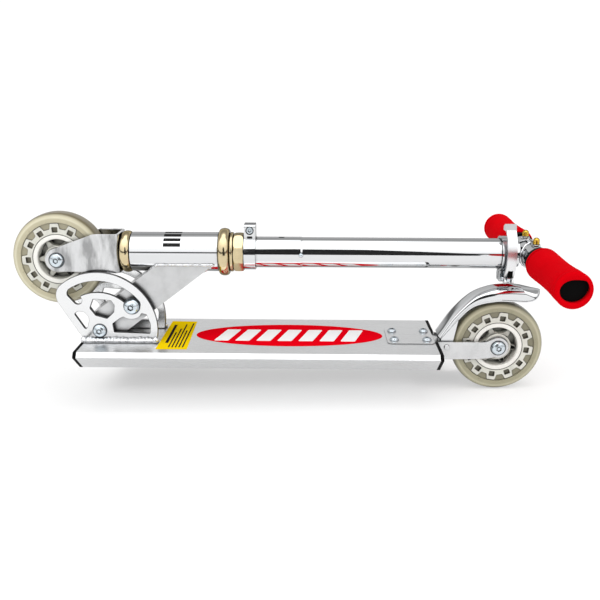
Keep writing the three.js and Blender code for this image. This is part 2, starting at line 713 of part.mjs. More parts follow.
// A pressed headset cup: a bulged ring outside the head tube and a skirt inside it.
function headsetCup(name, mouth, inward, bulgeR, width) {
  const bore = STEERER_R + 0.5;
  const skirt = HEAD.bore - GAP;
  const side = (x) => mouth + inward * x;
  const points = [
    [bore, side(0.5)], [bulgeR - 4.5, side(0)], [bulgeR - 1.4, side(width * 0.14)],
    [bulgeR, side(width * 0.45)], [bulgeR - 1.2, side(width * 0.8)], [bulgeR - 3, side(width)],
    [skirt, side(width)], [skirt, side(width + CUP_SKIRT)],
    [bore + 1, side(width + CUP_SKIRT)], [bore, side(width - 4)],
  ];
  return part(name, turned(inward > 0 ? points : points.reverse(), ROUND, 'X'), GOLD_ZINC);
}

function head() {
  const group = new THREE.Group();
  const tilted = new THREE.Group();
  tilted.position.set(PIVOT.x, 0, PIVOT.z);
  tilted.add(downTube(), lockSpring());
  const line = new THREE.Group();
  line.position.z = COLUMN_Z;
  line.add(
    headTube(),
    headsetCup('lower_headset_cup', CROWN_X + GAP, 1, 22.1, HEAD.front - CROWN_X - 2 * GAP),
    headsetCup('upper_headset_cup', HEAD.rear + 11.4, -1, 25.2, 11.1),
  );
  group.add(tilted, line);
  return group;
}

function lockPin() {
  const group = new THREE.Group();
  const [x, z] = polar(PIN_AT, TUBE_ANGLE);
  group.position.set(x, 0, z);
  const seat = PLATE_OUTER + GAP;
  group.add(
    buttonBolt('lock_pin_bolt', { ...LOCK_BOLT, seat: -seat, tip: seat + NUT.height + 1 }),
    sideNut('lock_pin_nut', { ...NUT, boreR: LOCK_BOLT.shankR + GAP / 2, seat }),
  );
  return group;
}

// ---------- fork and column ----------
const FORK = {
  crownHalf: 17.5, axleHalf: 16, top: 170.3, low: 128.9,
  bendFrom: -202, bendTo: -216, end: -248, round: 5, endR: 12.2,
};

function forkPlan() {
  const { crownHalf, axleHalf, bendFrom, bendTo, end, round } = FORK;
  const half = [
    [end, axleHalf], [bendTo, axleHalf], [bendFrom, crownHalf],
    ...arcPoints(CROWN_X - round, crownHalf - round, round, 90, 0, 3),
  ];
  const inner = round - BLADE;
  const inside = [
    ...arcPoints(CROWN_X - round, crownHalf - round, inner, 0, 90, 3),
    [bendFrom, crownHalf - BLADE], [bendTo, axleHalf - BLADE], [end, axleHalf - BLADE],
  ];
  const mirror = (points) => points.map(([x, y]) => [x, -y]).reverse();
  return outline([...half, ...mirror(half), ...mirror(inside), ...inside].reverse());
}

function forkSide() {
  const shape = new THREE.Shape();
  const { x, z } = FRONT_AXLE;
  shape.moveTo(CROWN_X + 1, FORK.low);
  shape.lineTo(CROWN_X + 1, FORK.top);
  shape.lineTo(-194.3, FORK.top);
  shape.absarc(x, z, FORK.endR, 110 * DEG, 270 * DEG);
  return shape;
}

function fork() {
  const side = sideProfile(forkSide(), -FORK.crownHalf - 1, FORK.crownHalf + 1);
  const blades = planProfile(forkPlan(), FORK.low - 2, FORK.top + 2).intersect(side);
  const body = cut(blades, crossDrill(AXLE_R + GAP, FRONT_AXLE.x, FRONT_AXLE.z));
  return part('fork', body.translate([0, 0, -COLUMN_Z]), STEEL);
}

const NUTS = { adjuster: [-52.6, -48.9], locknut: [-48.6, -37.8], collar: [-37.5, -25.5] };
const NUT_BORE_R = STEERER_R + GAP;
const CLAMP = { bandR: 18.6, boltR: 2.5 };
const STEM = { earHalf: 8.5, earTop: 30.4, boltZ: 24.3, split: 1, headR: 3.8, headSeat: -5.3, headTop: -8.4 };
const STEM_BOLT_X = (NUTS.collar[0] + NUTS.collar[1]) / 2;

// A clamp band round the column's swaged end, split between two square ears at the top.
function stemCollar() {
  const [from, to] = NUTS.collar;
  const { earHalf, earTop, boltZ, split, headR, headSeat } = STEM;
  const boreR = SWAGE_R + GAP;
  const band = pipe(CLAMP.bandR, boreR, from, to, ROUND, 'X');
  const ears = block(from, to, -earHalf, earHalf, boreR - 1, earTop);
  const bore = rod(boreR, from - 1, to + 1, ROUND, 'X');
  const slit = block(from - 1, to + 1, -split, split, boreR - 5, earTop + 1);
  const sunk = rod(headR + 2 * GAP, -REACH, headSeat + GAP, ROUND_SMALL, 'Y');
  const holes = [crossDrill(CLAMP.boltR + GAP, STEM_BOLT_X, boltZ), sunk.translate([STEM_BOLT_X, 0, boltZ])];
  const body = cut(join(band, ears), bore, slit, ...holes);
  return part('stem_collar', body, CHROME);
}

function stemBolt() {
  const { earHalf, boltZ, headR, headSeat, headTop } = STEM;
  const shankEnd = earHalf - 0.5;
  const bolt = turned([
    [0, headTop], [headR, headTop], [headR, headSeat],
    [CLAMP.boltR, headSeat], [CLAMP.boltR, shankEnd], [0, shankEnd],
  ], ROUND_SMALL, 'Y');
  const socket = sideProfile(outline(ngon(6, 4)), headTop - 1, headTop + 1.8);
  const mesh = part('stem_collar_bolt', cut(bolt, socket), ZINC);
  mesh.position.set(STEM_BOLT_X, 0, boltZ);
  return mesh;
}

function columnTube() {
  const [start] = NUTS.collar;
  const body = turned([
    [COLUMN_BORE_R, start], [SWAGE_R, start], [SWAGE_R, SWAGE_END], [COLUMN_R, SWAGE_END + 2.5],
    [COLUMN_R, COLUMN_END], [COLUMN_BORE_R, COLUMN_END],
  ], ROUND, 'X');
  const rivetHole = rod(RIVET.shankR + GAP / 2, -REACH, 0, ROUND_SMALL, 'Y').translate([RIVET.x, 0, 0]);
  return part('column_tube', cut(body, rivetHole), CHROME);
}

// A domed rivet through the column's wall.
const RIVET = { x: SWAGE_END + 0.4, shankR: 1.4, headR: 2.3, headH: 0.9 };

function columnRivet() {
  const { x, shankR, headR, headH } = RIVET;
  const seat = -SWAGE_R - GAP / 2;
  const rivet = turned([
    [0, seat - headH], [headR / 2, seat - headH * 0.85], [headR, seat], [shankR, seat],
    [shankR, -COLUMN_BORE_R - GAP / 2], [0, -COLUMN_BORE_R - GAP / 2],
  ], ROUND_SMALL, 'Y');
  const mesh = part('column_rivet', rivet, ZINC);
  mesh.position.x = x;
  return mesh;
}

function locknut() {
  const [from, to] = NUTS.locknut;
  const octagon = crossSection(outline(ngon(8, 38.5)), from, to);
  const middle = (from + to) / 2;
  const rounding = turned([
    [0, from], [18.9, from], [20.4, from + 1.4], [20.9, middle], [20.4, to - 1.4], [18.9, to], [0, to],
  ], ROUND, 'X');
  const bore = rod(NUT_BORE_R, from - 1, to + 1, ROUND, 'X');
  return part('headset_locknut', octagon.intersect(rounding).subtract(bore), GOLD_ZINC);
}

function headsetAdjuster() {
  const [from, to] = NUTS.adjuster;
  return part('headset_adjuster', pipe(20.9, NUT_BORE_R, from, to, ROUND, 'X'), GOLD_ZINC);
}

// ---------- quick-release clamp ----------
const QR = { from: 231, to: 244, boltZ: -23.5, pivotY: -15, earHalf: 8, earDepth: 5.5, split: 1.2 };
const QR_MIDDLE = (QR.from + QR.to) / 2;
const EYE = { r: 4.6, half: 2.4, pinR: 2.2 };
const LEVER = {
  half: 6.5, centre: [8, 1], outerR: 34, innerR: 31, from: 122, to: 222, innerTo: 216, camR: 5.6,
};

// A clamp band round the column's top, split between two ears at the bottom.
function qrCollar() {
  const { from, to, boltZ, earHalf, earDepth, split } = QR;
  const boreR = COLUMN_R + GAP;
  const band = pipe(CLAMP.bandR, boreR, from, to, ROUND, 'X');
  const bore = rod(boreR, from - 1, to + 1, ROUND, 'X');
  const ears = block(from + 0.5, to - 0.5, -earHalf, earHalf, boltZ - earDepth, 2 - boreR);
  const slit = block(from - 1, to + 1, -split, split, boltZ - REACH, 5 - boreR);
  const body = cut(join(band, ears), bore, slit, crossDrill(CLAMP.boltR + GAP, QR_MIDDLE, boltZ));
  return part('qr_collar', body, CHROME);
}

// The clamp's bolt, with an eye for the lever's pin at its near end.
function qrBolt() {
  const eye = rod(EYE.r, -EYE.half, EYE.half, ROUND_SMALL, 'X').translate([0, QR.pivotY, 0]);
  const hole = rod(EYE.pinR + GAP, -REACH, REACH, ROUND_SMALL, 'X').translate([0, QR.pivotY, 0]);
  const shank = rod(CLAMP.boltR, QR.pivotY + EYE.pinR + 2 * GAP, 14, ROUND_SMALL, 'Y');
  const mesh = part('qr_bolt', cut(join(eye, shank), hole), ZINC);
  mesh.position.set(QR_MIDDLE, 0, QR.boltZ);
  return mesh;
}

function qrNut() {
  const boreR = CLAMP.boltR + GAP;
  const [seat, end] = [QR.earHalf + GAP, QR.earHalf + 5.4];
  const nut = turned([
    [boreR, seat], [5.2, seat], [5.2, end - 1.4], [4, end], [boreR, end],
  ], ROUND_SMALL, 'Y');
  const mesh = part('qr_nut', nut, ZINC);
  mesh.position.set(QR_MIDDLE, 0, QR.boltZ);
  return mesh;
}

// The lever: a forked cam at the bolt's eye, a band curved round the collar and a finger tab at the top.
function qrLever() {
  const { half, centre, outerR, innerR, from, to, innerTo, camR } = LEVER;
  const { pivotY, boltZ } = QR;
  const bandOuter = arcPoints(...centre, outerR, to, from, 10);
  const bandInner = arcPoints(...centre, innerR, from, innerTo, 10);
  const tab = [[-11.4, 33.6], [-5.5, 31], [-5.5, 27.5]];
  const cam = arcPoints(pivotY, boltZ, camR, 330, 200, 6);
  const profile = outline([...bandOuter, ...tab, ...bandInner.slice(1), ...cam].reverse());
  const slot = EYE.half + GAP;
  const eyeRoom = block(-slot, slot, pivotY - EYE.r - 1.8, pivotY + 10, boltZ - 8, boltZ + EYE.r + 2.4);
  const pinHole = rod(EYE.pinR + GAP, -half - 1, half + 1, ROUND_SMALL, 'X').translate([0, pivotY, boltZ]);
  const mesh = part('qr_lever', cut(crossSection(profile, -half, half), eyeRoom, pinHole), CHROME);
  mesh.position.set(QR_MIDDLE, 0, 0);
  return mesh;
}

function leverPin() {
  const length = 2 * LEVER.half - GAP;
  const mesh = part('qr_lever_pin', rod(EYE.pinR, -length / 2, length / 2, ROUND_SMALL, 'X'), ZINC);
  mesh.position.set(QR_MIDDLE, QR.pivotY, QR.boltZ);
  return mesh;
}

// ---------- handlebar ----------
function innerTube() {
  const end = BAR_X - CROSS_R - GAP;
  const boreR = INNER_TUBE_R - INNER_TUBE_WALL;
  return part('inner_tube', pipe(INNER_TUBE_R, boreR, INNER_TUBE_START, end, ROUND, 'X'), CHROME);
}

function buttonHole(radius, side) {
  return rod(radius, HANDLE_R / 2, CROSS_R + 5, ROUND_SMALL, 'Z').translate([0, side * BUTTON_Y, 0]);
}

function crossTube() {
  const tube = pipe(CROSS_R, HANDLE_R + 0.4, -CROSS_HALF, CROSS_HALF, ROUND, 'Y');
  const holes = [-1, 1].map((side) => buttonHole(BUTTON_R + GAP + 0.1, side));
  const mesh = part('cross_tube', cut(tube, ...holes), CHROME);
  mesh.position.x = BAR_X;
  return mesh;
}

function pressButton(side) {
  const bottom = HANDLE_R + GAP;
  const button = turned([
    [0, bottom], [BUTTON_R, bottom], [BUTTON_R, 15.2], [3.3, 15.6],
    [3.3, 18.6], [2.6, 20.4], [1.3, 21.2], [0, 21.4],
  ], ROUND_SMALL, 'Z');
  const mesh = part(`handle_button_${side < 0 ? 'left' : 'right'}`, button, BRASS);
  mesh.position.set(BAR_X, side * BUTTON_Y, 0);
  return mesh;
}

function handle(side) {
  const label = side < 0 ? 'left' : 'right';
  const span = (a, b) => (side < 0 ? [-b, -a] : [a, b]);
  const tube = pipe(HANDLE_R, HANDLE_R - HANDLE_WALL, ...span(HANDLE_START, GRIP_OUTER_END - 6), ROUND, 'Y');
  const catchHole = buttonHole(BUTTON_R + 1.3, side);
  const profile = [
    [HANDLE_R + GAP, GRIP_INNER_END], [GRIP_R - 1, GRIP_INNER_END], [GRIP_R, GRIP_INNER_END + 2],
    [GRIP_R, GRIP_INNER_END + 9], [GRIP_R - 1.2, GRIP_INNER_END + 18], [GRIP_R - 1.2, GRIP_OUTER_END - 22],
    [GRIP_R, GRIP_OUTER_END - 9], [GRIP_R, GRIP_OUTER_END - 2.5], [GRIP_R - 2.5, GRIP_OUTER_END],
    [7, GRIP_OUTER_END], [7, GRIP_OUTER_END - 5], [HANDLE_R + GAP, GRIP_OUTER_END - 5],
  ];
  const mirrored = profile.map(([r, y]) => [r, -y]).reverse();
  const grip = turned(side > 0 ? profile : mirrored, ROUND, 'Y');
  const ferrule = pipe(CROSS_R + 1.6, CROSS_R + GAP, ...span(36, CROSS_HALF + 0.5), ROUND, 'Y');
  const meshes = [
    part(`handle_tube_${label}`, cut(tube, catchHole), CHROME),
    part(`grip_${label}`, grip, FOAM),
    part(`cross_tube_ferrule_${label}`, ferrule, BLACK),
  ];
  for (const mesh of meshes) mesh.position.x = BAR_X;
  return meshes;
}

function steering() {
  const group = new THREE.Group();
  group.position.z = COLUMN_Z;
  group.add(
    fork(),
    part('steerer_tube', pipe(STEERER_R, STEERER_R - 2, CROWN_X + GAP, 5, ROUND, 'X'), STEEL),
    headsetAdjuster(),
    locknut(),
    stemCollar(),
    stemBolt(),
    columnTube(),
    columnRivet(),
    qrCollar(),
    qrBolt(),
    qrNut(),
    leverPin(),
    qrLever(),
    innerTube(),
    crossTube(),
    pressButton(-1),
    pressButton(1),
    ...handle(-1),
    ...handle(1),
  );
  return group;
}

const scooter = new THREE.Group();
scooter.add(
  deck(),
  fender(),
  head(),
  lockPin(),
  steering(),
  axle('front', FRONT_AXLE, FORK.axleHalf),
  wheel('front', FRONT_AXLE),
  wheel('rear', REAR_AXLE),
);

export default scooter;
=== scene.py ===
"""The look of the folded kick scooter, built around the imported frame. Shapes are drawn in millimetres."""

import json
import math

import bmesh
import bpy
from mathutils import Matrix, Vector

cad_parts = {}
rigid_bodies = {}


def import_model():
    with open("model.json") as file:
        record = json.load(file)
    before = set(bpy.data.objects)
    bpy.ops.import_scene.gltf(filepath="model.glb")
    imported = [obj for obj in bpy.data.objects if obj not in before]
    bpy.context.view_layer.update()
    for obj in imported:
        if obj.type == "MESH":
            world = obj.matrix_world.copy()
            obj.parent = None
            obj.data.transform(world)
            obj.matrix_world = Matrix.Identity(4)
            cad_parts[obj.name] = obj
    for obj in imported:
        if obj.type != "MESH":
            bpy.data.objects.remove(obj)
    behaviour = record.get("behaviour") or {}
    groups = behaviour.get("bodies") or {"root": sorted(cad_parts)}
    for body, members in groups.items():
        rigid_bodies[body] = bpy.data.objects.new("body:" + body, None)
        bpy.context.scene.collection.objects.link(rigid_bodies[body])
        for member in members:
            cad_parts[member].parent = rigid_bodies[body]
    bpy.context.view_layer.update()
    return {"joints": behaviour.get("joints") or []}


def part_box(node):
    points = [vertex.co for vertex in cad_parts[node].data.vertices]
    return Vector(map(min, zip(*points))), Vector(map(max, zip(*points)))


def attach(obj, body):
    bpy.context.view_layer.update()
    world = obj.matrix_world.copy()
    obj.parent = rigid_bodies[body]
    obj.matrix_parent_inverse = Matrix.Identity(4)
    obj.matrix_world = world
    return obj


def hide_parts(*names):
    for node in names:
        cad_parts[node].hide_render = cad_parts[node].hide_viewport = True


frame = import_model()

MM = 0.001


# ---------- where things are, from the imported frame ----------
def span(node):
    """A node's lowest and highest corner."""
    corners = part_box(node)
    return corners[0] / MM, corners[1] / MM


def low(node):
    return span(node)[0]


def high(node):
    return span(node)[1]


def middle(node):
    return (low(node) + high(node)) / 2


DECK_LOW, DECK_HIGH = span("deck_extrusion")
DECK_TOP = DECK_HIGH.z
PIVOT = middle("fold_pivot_nut")
LOCK = middle("lock_pin_nut")
FRONT = middle("front_tyre")
REAR = middle("rear_tyre")
WHEEL_R = (high("rear_tyre").z - low("rear_tyre").z) / 2
TYRE_HALF = high("rear_tyre").y
LINE_Z = middle("column_tube").z
BAR_X = middle("cross_tube").x
QR_X = middle("qr_collar").x
BRAKE_PIN = middle("brake_hinge_pin")
PLATE_OUT = high("fold_plate_right").y
PLATE_IN = low("fold_plate_right").y
TUBE_HALF = high("down_tube").y
TUBE_ANGLE = math.atan2(LOCK.z - PIVOT.z, LOCK.x - PIVOT.x)
HINGE = next(joint for joint in frame["joints"] if joint["name"] == "fold_hinge")
FOLD = HINGE["range_deg"][1]


# ---------- node materials ----------
def new_material(name):
    mat = bpy.data.materials.new(name)
    mat.use_nodes = True
    return mat, mat.node_tree, mat.node_tree.nodes["Principled BSDF"]


def noise(tree, scale, stretch=(1, 1, 1), detail=4.0, rough=0.55):
    """A noise over the piece's own coordinates; scale is in cycles a metre."""
    coords = tree.nodes.new("ShaderNodeTexCoord")
    mapping = tree.nodes.new("ShaderNodeMapping")
    mapping.inputs["Scale"].default_value = stretch
    texture = tree.nodes.new("ShaderNodeTexNoise")
    texture.inputs["Scale"].default_value = scale
    texture.inputs["Detail"].default_value = detail
    texture.inputs["Roughness"].default_value = rough
    tree.links.new(coords.outputs["Object"], mapping.inputs["Vector"])
    tree.links.new(mapping.outputs["Vector"], texture.inputs["Vector"])
    return texture.outputs["Fac"]


def ranged(tree, value, low_value, high_value, from_low=0.3, from_high=0.7):
    node = tree.nodes.new("ShaderNodeMapRange")
    node.inputs["From Min"].default_value = from_low
    node.inputs["From Max"].default_value = from_high
    node.inputs["To Min"].default_value = low_value
    node.inputs["To Max"].default_value = high_value
    tree.links.new(value, node.inputs["Value"])
    return node.outputs["Result"]


def ramp(tree, value, stops):
    node = tree.nodes.new("ShaderNodeValToRGB")
    elements = node.color_ramp.elements
    while len(elements) < len(stops):
        elements.new(0.5)
    for element, (place, colour) in zip(elements, stops):
        element.position = place
        element.color = (*colour, 1)
    tree.links.new(value, node.inputs["Fac"])
    return node.outputs["Color"]


def scaled(colour, factor):
    return tuple(min(1.0, c * factor) for c in colour)


def bump(tree, shader, height, strength, depth):
    node = tree.nodes.new("ShaderNodeBump")
    node.inputs["Strength"].default_value = strength
    node.inputs["Distance"].default_value = depth * MM
    tree.links.new(height, node.inputs["Height"])
    tree.links.new(node.outputs["Normal"], shader.inputs["Normal"])


def mixed(tree, first, second, blend="MIX", factor=1):
    mix = tree.nodes.new("ShaderNodeMix")
    mix.data_type = "RGBA"
    mix.blend_type = blend
    mix.inputs["Factor"].default_value = factor
    tree.links.new(first, mix.inputs["A"])
    tree.links.new(second, mix.inputs["B"])
    return mix


def multiplied(tree, first, second):
    return mixed(tree, first, second, "MULTIPLY").outputs["Result"]


def painted_corner_shade(tree, colour, reach, dark):
    """Painted shade that darkens a colour in corners and under edges, from ambient occlusion."""
    corner = tree.nodes.new("ShaderNodeAmbientOcclusion")
    corner.samples = 8
    corner.inputs["Distance"].default_value = reach * MM
    return multiplied(tree, colour, ranged(tree, corner.outputs["AO"], dark, 1, 0.3, 0.9))


EVEN, ALONG_X = (1, 1, 1), (0.02, 1, 1)


def surface(name, slot, colour, rough, grain, cloud, *, metallic=1.0, stretch=EVEN, cloud_stretch=EVEN,
            corner_shade=None, edge_tint=1.0, gloss=0.5, spread=0.2):
    """A material and its slot. rough is a roughness and how far it wanders. grain is a scale, a bump strength
    and a depth in mm. cloud is a scale, how far the colour wanders, and how much darker its
    dark patches are."""
    mat, tree, shader = new_material(name)
    shader.inputs["Metallic"].default_value = metallic
    shader.inputs["Specular Tint"].default_value = (edge_tint, edge_tint, edge_tint, 1)
    shader.inputs["Specular IOR Level"].default_value = gloss
    cloud_scale, vary, dark = cloud
    grain_scale, strength, depth = grain
    slow = noise(tree, cloud_scale, cloud_stretch, detail=5.0)
    fine = noise(tree, grain_scale, stretch, detail=3.0)
    stops = [(0.5 - spread, scaled(colour, 1 - vary - dark)), (0.5, colour),
             (0.5 + spread, scaled(colour, 1 + vary))]
    tint = ramp(tree, slow, stops)
    # painted shade: the colour is darkened in corners and under edges
    if corner_shade:
        tint = painted_corner_shade(tree, tint, *corner_shade)
    tree.links.new(tint, shader.inputs["Base Color"])
    tree.links.new(ranged(tree, fine, rough[0] - rough[1], rough[0] + rough[1]), shader.inputs["Roughness"])
    bump(tree, shader, fine, strength, depth)
    return mat, slot


def film(name, colour, rough=0.4, vary=0.02):
    return surface(name, None, colour, (rough, 0.04), (1500, 0.05, 0.01), (18, vary, 0), metallic=0, gloss=0)


# materials given a corner_shade carry painted shade in their corners and under edges
SATIN = surface("satin_aluminium", "satin_aluminium", (0.665, 0.67, 0.675), (0.3, 0.07), (2600, 0.25, 0.03),
                (18, 0.03, 0), stretch=ALONG_X, corner_shade=(5, 0.55))
TUBE_SATIN = surface("satin_down_tube", "satin_aluminium", (0.64, 0.645, 0.65), (0.34, 0.06),
                     (1400, 0.2, 0.03), (60, 0.07, 0.04), corner_shade=(8, 0.25))
STRAP_SATIN = surface("satin_strap", "satin_steel", (0.66, 0.665, 0.67), (0.26, 0.05), (1600, 0.06, 0.02),
                      (60, 0.07, 0.02), corner_shade=(5, 0.45))
BLADE_SATIN = surface("satin_blade", "satin_steel", (0.58, 0.585, 0.59), (0.14, 0.06), (900, 0.1, 0.03),
                      (55, 0.2, 0.2), cloud_stretch=(1.5, 1, 0.45), corner_shade=(6, 0.2), spread=0.11)
CHROME = surface("chrome_plate", "chrome", (0.73, 0.74, 0.75), (0.05, 0.015), (1500, 0.04, 0.01),
                 (18, 0.015, 0), corner_shade=(4, 0.35), edge_tint=0.4)
POLISH = surface("polished_plate", "chrome", (0.83, 0.835, 0.84), (0.16, 0.05), (1100, 0.08, 0.02),
                 (18, 0.02, 0), corner_shade=(3, 0.6))
# painted shade: a near-black colour for the plates' edge faces, drawn as a shaded outline
EDGE_SHADE = surface("sheared_edge", "chrome", (0.07, 0.07, 0.073), (0.3, 0.08), (1500, 0.3, 0.03),
                   (120, 0.2, 0.1), stretch=(1, 0.05, 1), corner_shade=(3, 0.4))
WELD = surface("weld_bead", "chrome", (0.78, 0.79, 0.81), (0.2, 0.08), (700, 0.5, 0.3), (160, 0.12, 0.1),
               corner_shade=(3, 0.2))
CAST = surface("cast_chrome", "chrome", (0.8, 0.805, 0.815), (0.3, 0.05), (1100, 0.08, 0.02), (60, 0.03, 0),
               corner_shade=(4, 0.3), edge_tint=0.4)
TAB = surface("worn_tab", "chrome", (0.5, 0.505, 0.51), (0.38, 0.05), (1100, 0.08, 0.02), (60, 0.06, 0),
              corner_shade=(4, 0.3))
GOLD = surface("gold_zinc_plate", "gold_zinc", (0.66, 0.55, 0.34), (0.13, 0.04), (700, 0.05, 0.01),
               (60, 0.1, 0.03), corner_shade=(4, 0.25), edge_tint=0.3)
ZINC = surface("blue_zinc_plate", "zinc", (0.68, 0.75, 0.8), (0.24, 0.06), (800, 0.1, 0.02), (90, 0.08, 0.05),
               corner_shade=(1.6, 0.06), edge_tint=0.2)
DARK_ZINC = surface("shaded_zinc", "zinc", (0.1, 0.11, 0.12), (0.35, 0.06), (800, 0.1, 0.02), (18, 0.1, 0))
BRASS = surface("polished_brass", "brass", (0.66, 0.42, 0.06), (0.16, 0.05), (800, 0.08, 0.01), (90, 0.08, 0),
                corner_shade=(3, 0.2), edge_tint=0.3)
BLACK = surface("moulded_black", "black_plastic", (0.004, 0.004, 0.004), (0.5, 0.08), (1600, 0.2, 0.04),
                (18, 0.2, 0), metallic=0, gloss=0.02)
NYLON = surface("nylon", "nylon", (0.78, 0.78, 0.74), (0.45, 0.05), (900, 0.15, 0.03), (18, 0.04, 0),
                metallic=0)
# a lighter copy of the core plastic for the wheel ring, a painted highlight
CORE_RING_HIGHLIGHT = surface("moulded_ring", "core_plastic", (0.84, 0.83, 0.78), (0.35, 0.06), (700, 0.15, 0.04),
                    (70, 0.03, 0), metallic=0, corner_shade=(4, 0.2))
# the hub's copy carries strong painted shade in its recesses
CORE = surface("moulded_core", "core_plastic", (0.66, 0.655, 0.59), (0.42, 0.08), (700, 0.2, 0.04),
               (90, 0.05, 0.06), metallic=0, corner_shade=(7, 0.04))
RED_FILM = film("red_film", (0.72, 0.001, 0.008))
WHITE_FILM = film("white_film", (0.84, 0.84, 0.84))
YELLOW_FILM = film("yellow_film", (0.8, 0.56, 0.003))
# dark print on the deck and head tube, also used as painted shade for slots
DARK_PRINT_AND_SLOT_SHADE = film("dark_film", (0.02, 0.02, 0.02), 0.45, 0.1)


def foam_material():
    mat, tree, shader = new_material("red_foam")
    slow = noise(tree, 22, detail=3.0)
    cells = noise(tree, 2200, detail=2.0, rough=0.7)
    red = (0.6, 0.0004, 0.004)
    stops = [(0.3, scaled(red, 0.93)), (0.7, scaled(red, 1.06))]
    # the foam's colour carries painted shade in its corners
    tree.links.new(painted_corner_shade(tree, ramp(tree, slow, stops), 6, 0.35), shader.inputs["Base Color"])
    tree.links.new(ranged(tree, cells, 0.78, 0.95), shader.inputs["Roughness"])
    shader.inputs["Specular IOR Level"].default_value = 0.01
    bump(tree, shader, cells, 0.3, 0.1)
    return mat, "red_foam"


def tyre_material(name, centre, side, shoulder, edge):
    """Cast polyurethane: dark between the teeth, a painted highlight on the shoulder, painted shade at the
    outer edge and in corners, wet gloss.
    """
    mat, tree, shader = new_material(name)
    last = tree.nodes.new("ShaderNodeTexCoord").outputs["Object"]
    for operation, value in (("SUBTRACT", Vector(centre) * MM), ("MULTIPLY", (1, 0, 1)), ("LENGTH", None)):
        step = tree.nodes.new("ShaderNodeVectorMath")
        step.operation = operation
        if value is not None:
            step.inputs[1].default_value = value
        tree.links.new(last, step.inputs[0])
        last = step.outputs[0]
    radius = ranged(tree, step.outputs["Value"], 0, 1, 27 * MM, 49 * MM)
    # the shoulder stop is a painted highlight, and the last stops are painted shade along the outer edge
    stops = [(0.0, scaled(side, 0.55)), (0.51, scaled(side, 0.72)), (0.55, scaled(side, 0.95)), (0.72, side),
             (0.79, shoulder), (0.87, scaled(side, 1.08)), (0.92, scaled(side, 0.75)), (0.965, edge)]
    cloud = ramp(tree, noise(tree, 40, detail=2.0), [(0.3, (0.93, 0.93, 0.92)), (0.7, (1, 1, 1))])
    tint = multiplied(tree, ramp(tree, radius, stops), cloud)
    tree.links.new(painted_corner_shade(tree, tint, 5, 0.3), shader.inputs["Base Color"])
    shader.inputs["Transmission Weight"].default_value = 0.12
    shader.inputs["IOR"].default_value = 1.49
    shader.inputs["Coat Weight"].default_value = 0.25
    shader.inputs["Coat Roughness"].default_value = 0.08
    fine = noise(tree, 90, detail=2.0)
    tree.links.new(ranged(tree, fine, 0.3, 0.4), shader.inputs["Roughness"])
    bump(tree, shader, fine, 0.03, 0.05)
    return mat, "clear_tyre"


FOAM = foam_material()
# each tyre's shoulder colour is a painted highlight and its edge colour a painted shade
FRONT_TYRE = tyre_material("cast_tyre_front", FRONT, (0.6, 0.55, 0.38), (0.78, 0.74, 0.56),
                           (0.16, 0.13, 0.06))
REAR_TYRE = tyre_material("cast_tyre_rear", REAR, (0.4, 0.375, 0.25), (0.56, 0.53, 0.38), (0.13, 0.12, 0.06))


# ---------- outlines ----------
def rect(a0, b0, a1, b1):
    return [(a0, b0), (a1, b0), (a1, b1), (a0, b1)]


def both_sides(near, far):
    """The same stretch of Y on both sides of the middle."""
    return (-far, -near), (near, far)


def mirrored(points):
    """The points in reverse order with their second value turned round."""
    return [(p[0], -p[1], *p[2:]) for p in reversed(points)]


def rounded(points, radius, steps=5, closed=True):
    """A polyline whose corners are arcs. A point may carry its own radius as a third number."""
    out = []
    count = len(points)
    for i, point in enumerate(points):
        p = Vector(point[:2])
        r = point[2] if len(point) > 2 else radius
        if not closed and i in (0, count - 1) or r <= 0:
            out.append(tuple(p))
            continue
        a, b = Vector(points[i - 1][:2]) - p, Vector(points[(i + 1) % count][:2]) - p
        half = a.angle(b) / 2
        if abs(half - math.pi / 2) < 0.02:
            out.append(tuple(p))
            continue
        reach = min(r / math.tan(half), a.length * 0.49, b.length * 0.49)
        r = reach * math.tan(half)
        centre = p + (a.normalized() + b.normalized()).normalized() * (r / math.sin(half))
        start, end = p + a.normalized() * reach - centre, p + b.normalized() * reach - centre
        turn = start.angle_signed(end)
        for k in range(steps + 1):
            arm = start.copy()
            arm.rotate(Matrix.Rotation(-turn * k / steps, 2))
            out.append(tuple(centre + arm))
    return out


def arc(cx, cy, radius, start, end, steps):
    """Points on an arc; angles in degrees."""
    angles = [math.radians(start + (end - start) * i / steps) for i in range(steps + 1)]
    return [(cx + radius * math.cos(a), cy + radius * math.sin(a)) for a in angles]


def straight(points):
    """Points that rounded() leaves as they are."""
    return [(x, y, 0) for x, y in points]


def circle(cx, cy, radius, steps):
    return arc(cx, cy, radius, 0, 360 * (steps - 1) / steps, steps - 1)


def ngon(sides, flats, turn=0.0, centre=(0, 0)):
    radius = flats / 2 / math.cos(math.pi / sides)
    angles = [2 * math.pi * (i + 0.5) / sides + turn for i in range(sides)]
    return [(centre[0] + radius * math.cos(a), centre[1] + radius * math.sin(a)) for a in angles]


def along(points, spacing):
    """The same polyline with evenly spaced points."""
    points = [Vector(p) for p in points]
    out = [points[0]]
    for a, b in zip(points, points[1:]):
        steps = max(1, round((b - a).length / spacing))
        out += [a.lerp(b, k / steps) for k in range(1, steps + 1)]
    return out


def spline(points, steps):
    """A smooth curve through points, Catmull-Rom."""
    pts = [Vector(p) for p in points]
    pts = [2 * pts[0] - pts[1], *pts, 2 * pts[-1] - pts[-2]]
    out = []
    for a, b, c, d in zip(pts, pts[1:], pts[2:], pts[3:]):
        for t in (k / steps for k in range(steps)):
            bend = (2 * a - 5 * b + 4 * c - d) * t**2 + (3 * b - a - 3 * c + d) * t**3
            out.append(0.5 * (2 * b + (c - a) * t + bend))
    return [*out, pts[-2]]


